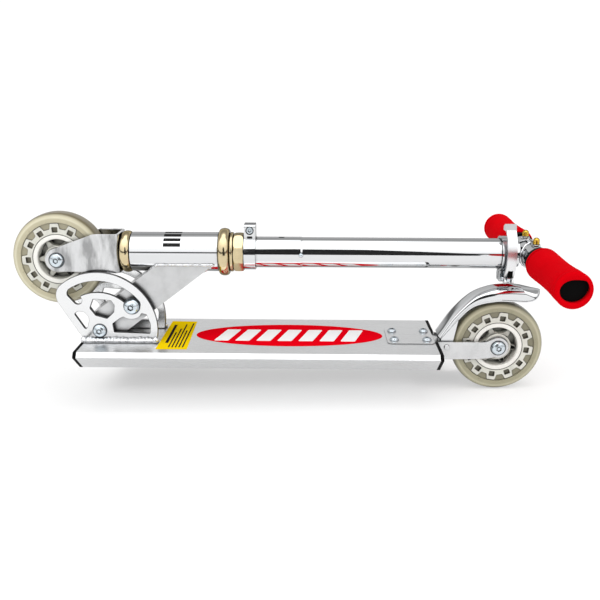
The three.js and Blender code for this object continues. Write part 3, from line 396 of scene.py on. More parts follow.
# ---------- mesh building ----------
def merged(*shapes):
    whole = bmesh.new()
    for shape in shapes:
        mesh = bpy.data.meshes.new("part")
        shape.to_mesh(mesh)
        shape.free()
        whole.from_mesh(mesh)
        bpy.data.meshes.remove(mesh)
    return whole


def moved(shape, offset):
    bmesh.ops.translate(shape, verts=shape.verts, vec=Vector(offset))
    return shape


def turned_about_y(shape, angle):
    bmesh.ops.rotate(shape, verts=shape.verts, cent=Vector(), matrix=Matrix.Rotation(angle, 3, "Y"))
    return shape


def as_object(shape, name="tool"):
    mesh = bpy.data.meshes.new(name)
    shape.to_mesh(mesh)
    shape.free()
    made = bpy.data.objects.new(name, mesh)
    bpy.context.scene.collection.objects.link(made)
    return made


def baked(*holders):
    """The first object's mesh with its modifiers as a loose shape. All the objects given are removed."""
    bpy.context.view_layer.update()
    evaluated = holders[0].evaluated_get(bpy.context.evaluated_depsgraph_get())
    mesh = bpy.data.meshes.new_from_object(evaluated)
    shape = bmesh.new()
    shape.from_mesh(mesh)
    bpy.data.meshes.remove(mesh)
    bpy.data.batch_remove([data for holder in holders for data in (holder, holder.data)])
    return shape


AXES = {"X": Vector((1, 0, 0)), "Y": Vector((0, 1, 0)), "Z": Vector((0, 0, 1))}
PLANES = {
    "X": Matrix(((0, 0, 1), (1, 0, 0), (0, 1, 0))),
    "Y": Matrix(((1, 0, 0), (0, 0, -1), (0, 1, 0))),
    "Z": Matrix.Identity(3),
}
LATHES = {
    "X": lambda r, a, h: (h, r * math.cos(a), r * math.sin(a)),
    "Y": lambda r, a, h: (r * math.cos(a), h, r * math.sin(a)),
    "Z": lambda r, a, h: (r * math.cos(a), r * math.sin(a), h),
}


def lathe(profile, axis, centre=(0, 0, 0), sides=96):
    """Turns [radius, height] points round an axis. A profile that ends off the axis closes on itself."""
    shape = bmesh.new()
    rings = []
    for r, h in profile:
        turns = [2 * math.pi * i / sides for i in range(1 if r < 1e-6 else sides)]
        rings.append([shape.verts.new(Vector(LATHES[axis](r, a, h)) + Vector(centre)) for a in turns])
    pairs = list(zip(rings, rings[1:]))
    if len(rings[0]) > 1 and len(rings[-1]) > 1:
        pairs.append((rings[-1], rings[0]))
    for a, b in pairs:
        for i in range(sides):
            j = (i + 1) % sides
            corners = [a[i % len(a)], a[j % len(a)], b[j % len(b)], b[i % len(b)]]
            corners = list(dict.fromkeys(corners))
            if len(corners) > 2:
                shape.faces.new(corners)
    bmesh.ops.recalc_face_normals(shape, faces=shape.faces)
    return shape


def on_line(profile, sides=96):
    """A lathe round the steering line."""
    return lathe(profile, "X", (0, 0, LINE_Z), sides)


def prism(outline, start, end, axis, holes=(), bevel=0.3, steps=3):
    """An outline with holes, pushed along an axis with rounded edges. Along Y the outline is in X and Z."""
    curve = bpy.data.curves.new("outline", "CURVE")
    curve.dimensions = "2D"
    curve.fill_mode = "BOTH"
    for loop in [outline, *holes]:
        line = curve.splines.new("POLY")
        line.points.add(len(loop) - 1)
        for point, (a, b) in zip(line.points, loop):
            point.co = (a, b, 0, 1)
        line.use_cyclic_u = True
    curve.extrude = abs(end - start) / 2 - bevel
    curve.bevel_depth = bevel
    curve.bevel_resolution = steps
    curve.offset = -bevel
    holder = bpy.data.objects.new("outline", curve)
    bpy.context.scene.collection.objects.link(holder)
    shape = baked(holder)
    bmesh.ops.remove_doubles(shape, verts=shape.verts, dist=0.002)
    bmesh.ops.transform(shape, matrix=PLANES[axis].to_4x4(), verts=shape.verts)
    moved(shape, AXES[axis] * (start + end) / 2)
    bmesh.ops.recalc_face_normals(shape, faces=shape.faces)
    return shape


def block(outline, start, end, axis, holes=()):
    """A prism with plain edges, to cut with or to bevel later."""
    return prism(outline, start, end, axis, holes, 0.02, 0)


def thin(outline, start, end, axis="Z", bevel=0.03):
    """A prism with a faint edge, for a film or for cutting a socket."""
    return prism(outline, start, end, axis, (), bevel, 1)


def tube(path, radius, sides=16, closed=False, ripple=0.0, period=4.0, squash=1.0):
    """A round bar along a path of points. A ripple makes the overlapping scales of a weld."""
    shape = bmesh.new()
    points = [Vector(p) for p in path]
    count = len(points)
    rings, run = [], 0.0
    normal = None
    for i, p in enumerate(points):
        ahead = points[(i + 1) % count] if closed or i < count - 1 else p
        behind = points[i - 1] if closed or i > 0 else p
        tangent = (ahead - behind).normalized()
        if normal is None:
            normal = tangent.orthogonal().normalized()
        normal = (normal - tangent * normal.dot(tangent)).normalized()
        side = tangent.cross(normal)
        if i:
            run += (p - points[i - 1]).length
        phase = run / period
        wave = abs(math.sin(math.pi * phase)) + 0.45 * math.sin(2.7 * phase + 1.3)
        wave += 0.4 * math.sin(0.83 * phase)
        r = radius * (1 + ripple * (wave - 0.5))
        rings.append([shape.verts.new(p + normal * (r * math.cos(a)) + side * (r * squash * math.sin(a)))
                      for a in (2 * math.pi * k / sides for k in range(sides))])
    pairs = list(zip(rings, rings[1:])) + ([(rings[-1], rings[0])] if closed else [])
    for a, b in pairs:
        for k in range(sides):
            shape.faces.new([a[k], a[(k + 1) % sides], b[(k + 1) % sides], b[k]])
    if not closed:
        shape.faces.new(rings[0])
        shape.faces.new(rings[-1])
    bmesh.ops.recalc_face_normals(shape, faces=shape.faces)
    return shape


CUT, ADD, KEEP = "DIFFERENCE", "UNION", "INTERSECT"


def combined(shape, *steps):
    """Booleans, given as pairs of operation and shape."""
    base = as_object(shape)
    tools = []
    for operation, tool in steps:
        tools.append(as_object(tool))
        modifier = base.modifiers.new("cut", "BOOLEAN")
        modifier.operation = operation
        modifier.object = tools[-1]
        modifier.solver = "EXACT"
    result = baked(base, *tools)
    bmesh.ops.remove_doubles(result, verts=result.verts, dist=0.001)
    bmesh.ops.dissolve_degenerate(result, edges=result.edges, dist=0.001)
    return result


def piece(name, shape, look, body, node=None, slot=None, bevel=0.0, sharp=35, edge_look=None):
    """A visible piece that rides a body and stands for a node. Faces that don't look along Y may differ."""
    bmesh.ops.scale(shape, vec=(MM, MM, MM), verts=shape.verts)
    if edge_look:
        shape.normal_update()
        for face in shape.faces:
            face.material_index = 1 if abs(face.normal.y) < 0.93 else 0
    made = as_object(shape, name)
    for material, _ in filter(None, (look, edge_look)):
        made.data.materials.append(material)
    made.data.polygons.foreach_set("use_smooth", [True] * len(made.data.polygons))
    made.data.set_sharp_from_angle(angle=math.radians(sharp))
    if bevel:
        modifier = made.modifiers.new("edges", "BEVEL")
        modifier.width = bevel * MM
        modifier.segments = 3
        modifier.limit_method = "ANGLE"
        modifier.angle_limit = math.radians(28)
    weighted = made.modifiers.new("normals", "WEIGHTED_NORMAL")
    weighted.keep_sharp = True
    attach(made, body)
    slot = slot or look[1]
    if node:
        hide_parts(node)
    return made


# ---------- fasteners ----------
NUT_FLATS, NUT_HEIGHT = 13, 5.5


def button_bolt(at, seat, radius, height, socket, shank):
    """A domed socket head seated at y = seat and standing out towards -Y, on a shank that passes its nut."""
    centre = (at.x, seat, at.z)
    length = NUT_HEIGHT + 0.8 - 2 * seat
    dome = rounded([(radius * 0.5, height), (radius * 0.86, height * 0.74), (radius, height * 0.3),
                    (radius, 0)],
                   2.0, 5, False)
    profile = [(0, height), *dome, (shank, 0), (shank, -length), (0, -length)]
    head = lathe([(r, -h) for r, h in profile], "Y", centre, 64)
    hexagon = thin(ngon(6, socket, 0, (at.x, at.z)), seat - height - 1, seat - height * 0.62, "Y", 0.05)
    core = [(0, height - 0.5), (socket * 0.27, height - 0.5), (socket * 0.3, height - 0.8),
            (socket * 0.3, height * 0.5), (0, height * 0.5)]
    return merged(combined(head, (CUT, hexagon)), lathe([(r, -h) for r, h in core], "Y", centre, 32))


def lock_nut(at, seat, bore):
    """A hexagon nut with chamfered corners and a nylon ring's collar, along Y."""
    centre = (at.x, seat, at.z)
    flats, height = NUT_FLATS, NUT_HEIGHT
    corner = flats / 2 / math.cos(math.pi / 6)
    outer = prism(ngon(6, flats, 0, (at.x, at.z)), seat, seat + height, "Y", bevel=0.1, steps=1)
    chamfer = lathe([(0, -1), (corner - 0.4, -1), (corner - 0.1, height * 0.12), (corner, height * 0.4),
                     (corner - 0.5, height * 0.62), (flats * 0.44, height * 0.8),
                     (flats * 0.42, height * 0.98),
                     (flats * 0.38, height + 0.2), (0, height + 0.2)], "Y", centre, 64)
    hole = lathe([(0, -30), (bore, -30), (bore, 30), (0, 30)], "Y", centre, 48)
    return combined(outer, (KEEP, chamfer), (CUT, hole))


def fasten(name, body, at, face, radius, height, socket, shank=4.0):
    """A bolt, its washer and its nut through everything between y = -face and y = face."""
    piece(f"{name}_bolt_domed", button_bolt(at, -face, radius, height, socket, shank), ZINC, body,
          f"{name}_bolt", sharp=40)
    ring = rounded(rect(shank + 0.2, 0, radius + 0.9, 0.5), 0.15, 2)
    washer = lathe([(r, 0.1 - face - h) for r, h in ring], "Y", (at.x, 0, at.z), 64)
    piece(f"{name}_bolt_washer", washer, DARK_ZINC, body)
    piece(f"{name}_nut_turned", lock_nut(at, face, shank + 0.15), ZINC, body, f"{name}_nut", bevel=0.15)


LEFT_RIGHT = (("left", -1), ("right", 1))

# ---------- wheels ----------
TEETH = 12
FACE, FLANGE = 11.4, 2.6
OFF_AXIS = 6.3
RIM_IN, RIM_OUT, HUB_R = 21.5, 26.8, 13.5


def around(count, corners):
    """Corners given as a radius and a turn in degrees, repeated round a wheel."""
    points = []
    for k in range(count):
        for radius, turn in corners:
            angle = math.radians(k * 360 / count + turn + OFF_AXIS)
            points.append((radius * math.cos(angle), radius * math.sin(angle)))
    return points


def tooth_outline(grow=0.0):
    root, tip = 32.5 + grow, 38.4 + grow
    return rounded(around(TEETH, ((root, -9.5), (tip, -6.5), (tip, 6.5), (root, 9.5))), 1.1, 4)


def tyre_shape():
    """The cast ring, what it fills between the teeth, and the small pads cast there."""
    curve = [(math.sin(math.radians(a)), math.cos(math.radians(a))) for a in range(0, 91, 6)]
    shoulder = [(43 + (WHEEL_R - 43) * s ** 0.72, -TYRE_HALF * c ** 0.62 if c > 1e-9 else 0)
                for s, c in curve]
    side = [(38.9, -8.2), (38.9, -11.3), (39.2, -11.6), (40.2, -11.75), *shoulder]
    parts = [lathe([(27.0, -8.2), *side, *mirrored(side[:-1]), (27.0, 8.2)], "Y")]
    for start, stop in both_sides(FACE - FLANGE, FACE - 1.1):
        parts.append(prism(circle(0, 0, 39.3, 96), start, stop, "Y", [tooth_outline(0.2)], 0.12, 1))
    pad = rounded([(39.2, -2.6), (42.3, -3.2), (42.3, 3.2), (39.2, 2.6)], 0.9, 4)
    for tooth in range(TEETH):
        angle = -math.radians((tooth + 0.5) * 360 / TEETH + OFF_AXIS)
        for start, stop in both_sides(10.9, 12.1):
            parts.append(turned_about_y(prism(pad, start, stop, "Y", bevel=0.4), angle))
    return merged(*parts)


def hub_shape():
    """Two toothed flanges with square pockets, beads, a sleeve, six pointed arms and a thin web."""
    square = rounded([(28.6, -2.9), (34.2, -3.2), (34.2, 3.2), (28.6, 2.9)], 0.7, 3)
    turns = [Matrix.Rotation(math.radians(tooth * 360 / TEETH + OFF_AXIS), 2) for tooth in range(TEETH)]
    holes = [circle(0, 0, RIM_OUT, 64), *[[tuple(turn @ Vector(p)) for p in square] for turn in turns]]
    parts = [prism(tooth_outline(), start, stop, "Y", holes, 0.4)
             for start, stop in both_sides(FACE - FLANGE, FACE)]
    parts.append(lathe(rect(RIM_OUT - 1, 1 - FACE, RIM_OUT + 1.5, FACE - 1), "Y"))
    for start, stop in both_sides(FACE - 0.5, FACE + 0.1):
        parts.append(lathe(rounded(rect(27.1, start, 28.0, stop), 0.25, 3), "Y"))
    sleeve = [(11.15, -12), (HUB_R + 0.7, -12), (HUB_R, -7), (HUB_R, 7), (HUB_R + 0.7, 12), (11.15, 12)]
    parts.append(lathe(rounded(sleeve, 0.7, 4), "Y"))
    parts.append(lathe(rounded(rect(7, -5, 12, 5), 0.4, 3), "Y"))
    arms = around(6, ((13.3, -30), (15.4, -12), (23.2, -3), (23.2, 3), (15.4, 12)))
    parts.append(prism(rounded(arms, 0.8, 3), -7.5, 7.5, "Y", [circle(0, 0, 12.5, 48)], 0.5))
    parts.append(lathe(rounded(rect(12, 1.5, RIM_OUT - 2, 4.5), 0.4, 2), "Y"))
    return merged(*parts)


def wheel(end, centre, look, phase):
    """A wheel whose teeth stand phase degrees round."""
    body = f"{end}_wheel"
    spin = -math.radians(phase - OFF_AXIS)
    tyre = moved(turned_about_y(tyre_shape(), spin), centre)
    piece(f"{end}_tyre_cast", tyre, look, body, f"{end}_tyre", sharp=50)
    ring = rounded(rect(RIM_IN, -12, RIM_OUT - 0.4, 12), 1.5, 5)
    piece(f"{end}_wheel_ring", lathe(ring, "Y", centre), CORE_RING_HIGHLIGHT, body)
    hub = moved(turned_about_y(hub_shape(), spin), centre)
    piece(f"{end}_wheel_hub", hub, CORE, body, f"{end}_wheel_core")
    outer, inner = [rounded(rect(*race), 0.35, 3) for race in ((9.3, 0, 11, 7), (4.15, 0, 6.3, 7))]
    shield = rounded(rect(6.4, 0.5, 9.2, 6.5), 0.2, 2)
    for label, sign in LEFT_RIGHT:
        shapes = [lathe([(r, sign * (TYRE_HALF - h)) for r, h in race], "Y", centre, 64)
                  for race in (outer, inner, shield)]
        node = f"{end}_bearing_{label}"
        piece(f"{node}_races", merged(*shapes), STRAP_SATIN, body, node)


wheel("front", FRONT, FRONT_TYRE, 2)
wheel("rear", REAR, REAR_TYRE, -7)

# ---------- deck ----------
TOP_HALF, BOTTOM_HALF, SHOULDER = 58.3, 39.6, 5.2
MAX_HALF = DECK_HIGH.y
DECK_SECTION = [(-TOP_HALF, DECK_TOP), (-MAX_HALF, DECK_TOP - SHOULDER), (-BOTTOM_HALF, DECK_LOW.z),
                (BOTTOM_HALF, DECK_LOW.z), (MAX_HALF, DECK_TOP - SHOULDER), (TOP_HALF, DECK_TOP)]
WALL, CELL = 2.2, 26.0
CELL_LOW, CELL_HIGH = DECK_LOW.z + WALL, DECK_TOP - WALL
outer_cell = [(CELL + 2, CELL_LOW), (BOTTOM_HALF - 0.6, CELL_LOW), (MAX_HALF - 2.6, DECK_TOP - SHOULDER),
              (TOP_HALF - 0.9, CELL_HIGH), (CELL + 2, CELL_HIGH)]
outer_cells = [outer_cell, [(-y, z) for y, z in reversed(outer_cell)]]
cells = [rounded(cell, 0.8, 3) for cell in (rect(-CELL, CELL_LOW, CELL, CELL_HIGH), *outer_cells)]
deck = prism(rounded(DECK_SECTION, 0.7, 4), DECK_LOW.x, DECK_HIGH.x, "X", cells, 0.12, 1)
piece("deck_body", deck, SATIN, "deck", "deck_extrusion", sharp=32)

STRAP_HALF, STRAP_LOW = high("rear_bracket").y, low("rear_bracket").z


def end_cap(node, outer, inward):
    """A cap a little larger than the deck's section, with plugs that reach into its outer cells."""
    rim = [(y * 1.004, DECK_TOP + (z - DECK_TOP) * 1.004 + 0.1) for y, z in DECK_SECTION]
    cap = prism(rounded(rim, 1.2, 5), *sorted((outer, outer + inward * 3.9)), "X", bevel=0.5)
    ends = sorted((outer + inward * 2.7, outer + inward * 10.5))
    tools = []
    for cell in outer_cells:
        slim = [(y * 0.995, z * 0.999) for y, z in cell]
        tools.append((ADD, prism(rounded(slim, 0.8, 3), *ends, "X", bevel=0.3, steps=1)))
    if inward < 0:
        half = STRAP_HALF + 0.4
        opening = rect(-half, STRAP_LOW - 0.5, half, DECK_TOP + 5)
        notch = prism(opening, outer - 30, outer + 5, "X", bevel=0.01, steps=0)
        tools.append((CUT, notch))
    piece(f"{node}_moulded", combined(cap, *tools), BLACK, "deck", node, sharp=40)


end_cap("front_end_cap", low("front_end_cap").x, 1)
end_cap("rear_end_cap", high("rear_end_cap").x, -1)

plate_low, plate_high = span("screw_plate")
screws = [middle(f"deck_screw_{i}") for i in (1, 2, 3, 4)]
outline = rounded(rect(plate_low.x, plate_low.y, plate_high.x, plate_high.y), 5, 8)
plate = prism(outline, DECK_TOP + 0.05, plate_high.z, "Z", [circle(s.x, s.y, 2.7, 32) for s in screws])
piece("screw_plate_pressed", plate, SATIN, "deck", "screw_plate")
for i, at in enumerate(screws, 1):
    base, top = plate_high.z + 0.1, high(f"deck_screw_{i}").z
    height = top - base
    dome = [(2.2, height), (3.7, height * 0.82), (4.1, height * 0.36), (4.9, height * 0.28), (4.9, 0)]
    profile = [(0, height), *rounded(dome, 1.0, 4, False), (2.4, 0), (2.4, -4), (0, -4)]
    hexagon = thin(ngon(6, 3, 0.4 * i, (at.x, at.y)), base + height * 0.35, top + 2, bevel=0.05)
    screw = combined(lathe(profile, "Z", (at.x, at.y, base), 48), (CUT, hexagon))
    piece(f"deck_screw_{i}_domed", screw, ZINC, "deck", f"deck_screw_{i}", sharp=40)

# plain graphics on the deck: an oval with slanted bars, and a striped patch
FILM = DECK_TOP + 0.02
INK = (FILM + 0.06, FILM + 0.16)
OVAL_STEPS = 160
turns = [2 * math.pi * k / OVAL_STEPS for k in range(OVAL_STEPS)]
oval = [(9.5 + 101.5 * math.cos(a), 1 + 36.3 * math.sin(a)) for a in turns]
piece("deck_oval", thin(oval, FILM, FILM + 0.1), RED_FILM, "deck")
BARS, BAR_WIDE, BAR_LEAN, BAR_HALF = 7, 15.5, 5.5, 19
bars = []
for k in range(BARS):
    x = -68 + 158 * (k + 0.12) / BARS
    slanted = [(x - BAR_LEAN, -BAR_HALF), (x + BAR_WIDE - BAR_LEAN, -BAR_HALF),
               (x + BAR_WIDE + BAR_LEAN, BAR_HALF), (x + BAR_LEAN, BAR_HALF)]
    bars.append(thin(rounded(slanted, 1.6, 4), *INK))
piece("deck_oval_bars", merged(*bars), WHITE_FILM, "deck")
patch = [(-126.5, 48.1), (-98, 46.9), (-95.3, -47.7), (-128, -48)]
piece("deck_patch", thin(rounded(patch, 1.0, 3), FILM, FILM + 0.1), YELLOW_FILM, "deck")
stripes = []
for x, width, start, stop in ((-121.5, 3.2, -28, 34), (-116.2, 1.5, -42, 8), (-112.6, 1.5, -42, 20),
                              (-108.9, 1.5, -42, 36), (-105.3, 1.5, -42, 14), (-101.6, 1.5, -42, 40)):
    stripes.append(thin(rounded(rect(x, start, x + width, stop), 0.4, 2), *INK))
piece("deck_patch_stripes", merged(*stripes), DARK_PRINT_AND_SLOT_SHADE, "deck")

# ---------- folding bracket ----------
PLATE_R, PLATE_X, PLATE_Z = 61.5, -190.6, 70.2
FOOT = low("fold_plate_left").z
SLOT_IN, SLOT_OUT, NOTCH = 42.0, 54.3, 4.5
FOLDED_NOTCH, OPEN_NOTCH = 41.3, 39.7
FOLDED = math.degrees(TUBE_ANGLE)
OPEN = FOLDED + FOLD


def polar(radius, degrees):
    a = math.radians(degrees)
    return PIVOT.x + radius * math.cos(a), PIVOT.z + radius * math.sin(a)


def plate_outline():
    rear = -math.degrees(math.asin((PLATE_Z - FOOT) / PLATE_R))
    foot = PLATE_X + PLATE_R * math.cos(math.radians(rear))
    return [(-207.7, FOOT), (foot, FOOT), *arc(PLATE_X, PLATE_Z, PLATE_R, rear, 128.6, 60),
            *arc(-219, 105.8, 16, 128.6, 211.3, 20)[1:]]


def slot_outline():
    centre, half = (SLOT_IN + SLOT_OUT) / 2, (SLOT_OUT - SLOT_IN) / 2
    edge = math.degrees(NOTCH / SLOT_IN)

    def notch(angle, depth):
        return arc(*polar(depth, angle), NOTCH, angle + 90, angle + 270, 14)

    return [
        *arc(PIVOT.x, PIVOT.z, SLOT_OUT, FOLDED, OPEN, 40),
        *arc(*polar(centre, OPEN), half, OPEN, OPEN + 75, 10)[1:],
        *notch(OPEN, OPEN_NOTCH),
        *arc(PIVOT.x, PIVOT.z, SLOT_IN, OPEN - edge, FOLDED + edge, 36),
        *notch(FOLDED, FOLDED_NOTCH),
        *arc(*polar(centre, FOLDED), half, FOLDED - 75, FOLDED, 10)[:-1],
    ]


windows = [
    rounded([(-182.5, 81.5), (-174.8, 88.9), (-173.9, 96.3), (-177.5, 101.4), (-196, 102.9), (-200, 92.8),
             (-194.1, 84.9)], 1.4, 4),
    rounded([(-206.2, 69.5), (-203.6, 72.2, 3), *straight(arc(-212.2, 79.6, 10.2, -28, 62, 16)),
             (-212.6, 89.2, 2), (-216.8, 86.5)], 1.2, 4),
    rounded([(-175.7, 66.4), (-137.6, 65.2), (-136.8, 75.6, 6), (-140.6, 86.2), (-145.7, 87.5),
             *straight(arc(-156.6, 95.4, 14.6, -50, -125, 14)), (-168.6, 81.9), (-176.9, 75.8)], 1.2, 4),
]
plate_holes = [slot_outline(), *windows, circle(PIVOT.x, PIVOT.z, 4.3, 40)]
for label, sign in LEFT_RIGHT:
    ends = sorted((sign * PLATE_IN, sign * PLATE_OUT))
    plate = prism(plate_outline(), *ends, "Y", plate_holes, 0.7)
    node = f"fold_plate_{label}"
    # the plate's faces that don't look along Y carry a painted shade
    piece(f"{node}_cut", plate, POLISH, "deck", node, sharp=50, edge_look=EDGE_SHADE)
    bead = along([(-209.5, sign * 27.2, 57.6), (-131, sign * 26.6, 57.6)], 0.7)
    weld = tube(bead, 3.4, 20, ripple=0.26, period=3.7, squash=0.85)
    blobs = [lathe([(0, -3.4), (2.6, -2.6), (3.7, 0), (2.6, 2.6), (0, 3.4)], "X", (x, sign * 26.8, 58.2), 24)
             for x in (-208.2, -131.6)]
    piece(f"fold_plate_weld_{label}", merged(weld, *blobs), WELD, "deck", sharp=60)

fasten("fold_pivot", "deck", PIVOT, PLATE_OUT + 0.2, radius=6.9, height=4.1, socket=5.6)
fasten("lock_pin", "lock_pin", LOCK, PLATE_OUT + 0.2, radius=8.0, height=7.0, socket=6.0, shank=2.5)
for label, sign in LEFT_RIGHT:
    ring = rounded(rect(4.4, 0.05, 9, 1.2), 0.3, 3)
    washer = lathe([(r, sign * (TUBE_HALF + 0.25 + h)) for r, h in ring], "Y", (PIVOT.x, 0, PIVOT.z), 64)
    piece(f"fold_washer_{label}_turned", washer, NYLON, "deck", f"fold_washer_{label}")

# ---------- rear bracket and brake ----------
INNER, THICK, PINCH = 15.0, 2.5, 1.8
WEB = DECK_HIGH.x + 3.6
STRAP_HIGH = 55.7
TONGUE_LOW, TONGUE_HIGH = 50.5, 53.5


def strap(sign):
    line = [(WEB, INNER), (216, INNER), (221.5, INNER - PINCH), (248, INNER - PINCH)]
    loop = [(x, y * sign) for x, y in line] + [(x, (y + THICK) * sign) for x, y in reversed(line)]
    side = [(WEB, STRAP_LOW), (REAR.x - 9, STRAP_LOW + 1.2), *arc(REAR.x, REAR.z, 11, -110, 115, 40),
            (REAR.x - 12, STRAP_HIGH), (WEB, STRAP_HIGH)]
    holes = [circle(REAR.x, REAR.z, 4.3, 40), circle(BRAKE_PIN.x, BRAKE_PIN.z, 2.8, 32)]
    plan = block(loop, STRAP_LOW - 2, REAR.z + 14, "Z")
    return combined(plan, (KEEP, block(side, -30, 30, "Y", holes)))


web = block(rect(-STRAP_HALF, STRAP_LOW, STRAP_HALF, TONGUE_HIGH), WEB, WEB + THICK, "X")
tongue = block(rect(108, -STRAP_HALF, WEB + 1, STRAP_HALF), TONGUE_LOW, TONGUE_HIGH, "Z",
               [circle(s.x, s.y, 2.7, 24) for s in screws])
bracket = combined(strap(-1), (ADD, strap(1)), (ADD, web), (ADD, tongue))
piece("rear_bracket_folded", bracket, STRAP_SATIN, "deck", "rear_bracket", bevel=0.4)
spots = []
for x, z, r in ((WEB + 2.5, 46.5, 1.9), (WEB + 3.6, 44.2, 1.7), (WEB + 4.4, 41.9, 1.5),
                (WEB + 2.2, 43.4, 1.4)):
    spot = [(0, -r * 0.7), (r * 0.8, -r * 0.5), (r, 0), (r * 0.8, r * 0.5), (0, r * 0.7)]
    spots += [lathe(spot, "Y", (x, sign * (STRAP_HALF + 0.1), z), 20) for _, sign in LEFT_RIGHT]
piece("bracket_weld_spots", merged(*spots), WELD, "deck", slot="satin_steel", sharp=60)
fasten("rear_axle", "deck", REAR, INNER - PINCH + THICK + 0.2, radius=7.4, height=3.9, socket=5.4)

reach = high("brake_hinge_pin").y
pin_end = [(0, -reach), (2.5, -reach), (2.9, 0.5 - reach), (2.9, 1.2 - reach), (2.5, 1.2 - reach)]
pin = lathe([*pin_end, *mirrored(pin_end)], "Y", (BRAKE_PIN.x, 0, BRAKE_PIN.z), 48)
piece("brake_pin_turned", pin, STRAP_SATIN, "deck", "brake_hinge_pin", slot="zinc", sharp=30)


def coil(radius, turns, start, stop, steps):
    return [Vector((radius * math.cos(a), start + (stop - start) * k / steps, radius * math.sin(a)))
            for k, a in ((k, 2 * math.pi * turns * k / steps) for k in range(steps + 1))]


spring = tube([p + Vector((BRAKE_PIN.x, 0, BRAKE_PIN.z)) for p in coil(4.0, 4.5, -6, 6, 160)], 0.7, 12)
piece("brake_spring_wire", spring, STRAP_SATIN, "deck", "brake_spring")

FENDER_TOP = [(169.6, 60.4), (185.6, 84.6), (204.8, 103.8), (222.5, 112.1), (238, 114.6), (253, 114.4),
              (277, 110.6)]
FENDER_EDGE = [(174.5, 57), (188, 79), (204.4, 95), (227.4, 101), (245, 101.2), (262, 100.8), (277, 105)]
FENDER_TAPER = 21
FENDER_HALF, SHEET_THICK = high("fender_brake").y, 1.4


def fender_skin():
    """The fender's outer skin: an arch that flattens, narrows and closes over its last stretch."""
    tops = spline([(x, 0, z) for x, z in FENDER_TOP], 24)
    edges = spline([(x, 0, z) for x, z in FENDER_EDGE], 24)
    shape = bmesh.new()
    rows = []
    taper_start = tops[-1].x - FENDER_TAPER
    for top, edge in zip(tops, edges):
        beyond = max(0.0, (top.x - taper_start) / FENDER_TAPER)
        closing = math.sqrt(max(0.004, 1 - beyond ** 2.6))
        half = FENDER_HALF * closing
        down = edge - top
        depth = down.length * closing
        bulge = min(1.0, 0.5 + 0.8 * beyond)
        down.normalize()
        lip = min(0.7, half * 0.2)
        section = [(-half, depth)]
        for k in range(-16, 17):
            a = math.pi / 2 * k / 16
            drop = 1 - max(0.0, math.cos(a)) ** bulge
            section.append(((half - lip) * math.copysign(abs(math.sin(a)) ** bulge, a), (depth - 0.3) * drop))
        section.append((half, depth))
        rows.append([shape.verts.new(top + down * d + Vector((0, y, 0))) for y, d in section])
    for a, b in zip(rows, rows[1:]):
        for k in range(len(a) - 1):
            shape.faces.new([a[k], a[k + 1], b[k + 1], b[k]])
    bmesh.ops.recalc_face_normals(shape, faces=shape.faces)
    crest = min(shape.faces, key=lambda f: (f.calc_center_median() - Vector((222, 0, 113))).length)
    if crest.normal.z < 0:
        bmesh.ops.reverse_faces(shape, faces=shape.faces)
    return shape


def thickened(shape, thickness):
    """A skin given its thickness on its inner side."""
    holder = as_object(shape)
    modifier = holder.modifiers.new("sheet", "SOLIDIFY")
    modifier.thickness = thickness
    modifier.offset = -1
    return baked(holder)


ear = [*arc(BRAKE_PIN.x, BRAKE_PIN.z, 5.8, 180, 360, 24), (190, 80), (172.6, 58.5)]
ear_hole = circle(BRAKE_PIN.x, BRAKE_PIN.z, 2.8, 32)
ears = [prism(ear, *ends, "Y", [ear_hole], 0.2, 2)
        for ends in both_sides(FENDER_HALF - SHEET_THICK, FENDER_HALF)]
fender = merged(thickened(fender_skin(), SHEET_THICK), *ears)
piece("fender_pressed", fender, CHROME, "fender", "fender_brake", sharp=45)

# ---------- head: down tube, head tube and headset ----------
HEAD_LOW, HEAD_HIGH = span("head_tube")
HEAD_R = HEAD_HIGH.y


def line_tube(name, node, inner, outer, look, body, corner=0.3, steps=3, sides=96):
    """A tube or ring on the steering line, as long as its node."""
    start, stop = low(node).x, high(node).x
    piece(name, on_line(rounded(rect(inner, start, outer, stop), corner, steps), sides), look, body, node)


def down_tube():
    """A square tube drawn along X from the pivot. Its foot clears the deck at both ends of the fold."""
    floor = PIVOT.z - DECK_TOP - 0.6
    down = 270 - FOLDED
    back = down - FOLD

    def foot(angle, v):
        a = math.radians(angle)
        return (floor - v * math.sin(a)) / math.cos(a), v

    side = [(150, -TUBE_HALF), (150, TUBE_HALF), foot(back, TUBE_HALF), *arc(0, 0, floor, back, down, 24),
            foot(down, -TUBE_HALF)]
    inside = TUBE_HALF - 2
    body = combined(block(side, -TUBE_HALF, TUBE_HALF, "Y", [circle(0, 0, 4.3, 40)]),
                    (CUT, block(rect(-150, -inside, 151, inside), -inside, inside, "Y")),
                    (CUT, block(rect(36.8, -2.8, 47.6, 2.8), -30, 30, "Y")))
    moved(turned_about_y(body, -TUBE_ANGLE), (PIVOT.x, 0, PIVOT.z))
    saddle = on_line(rect(0, -400, HEAD_R + 0.1, 200), 128)
    above = block(rect(-400, LINE_Z, 200, LINE_Z + 200), -60, 60, "Y")
    return combined(body, (CUT, saddle), (CUT, above))


piece("down_tube_cut", down_tube(), TUBE_SATIN, "head", "down_tube", bevel=0.7)


def on_tube(z, v):
    """The x where a face of the sloping tube is at height z; v is -TUBE_HALF on its lower face."""
    t = (z - PIVOT.z - v * math.cos(TUBE_ANGLE)) / math.sin(TUBE_ANGLE)
    return PIVOT.x + t * math.cos(TUBE_ANGLE) - v * math.sin(TUBE_ANGLE)


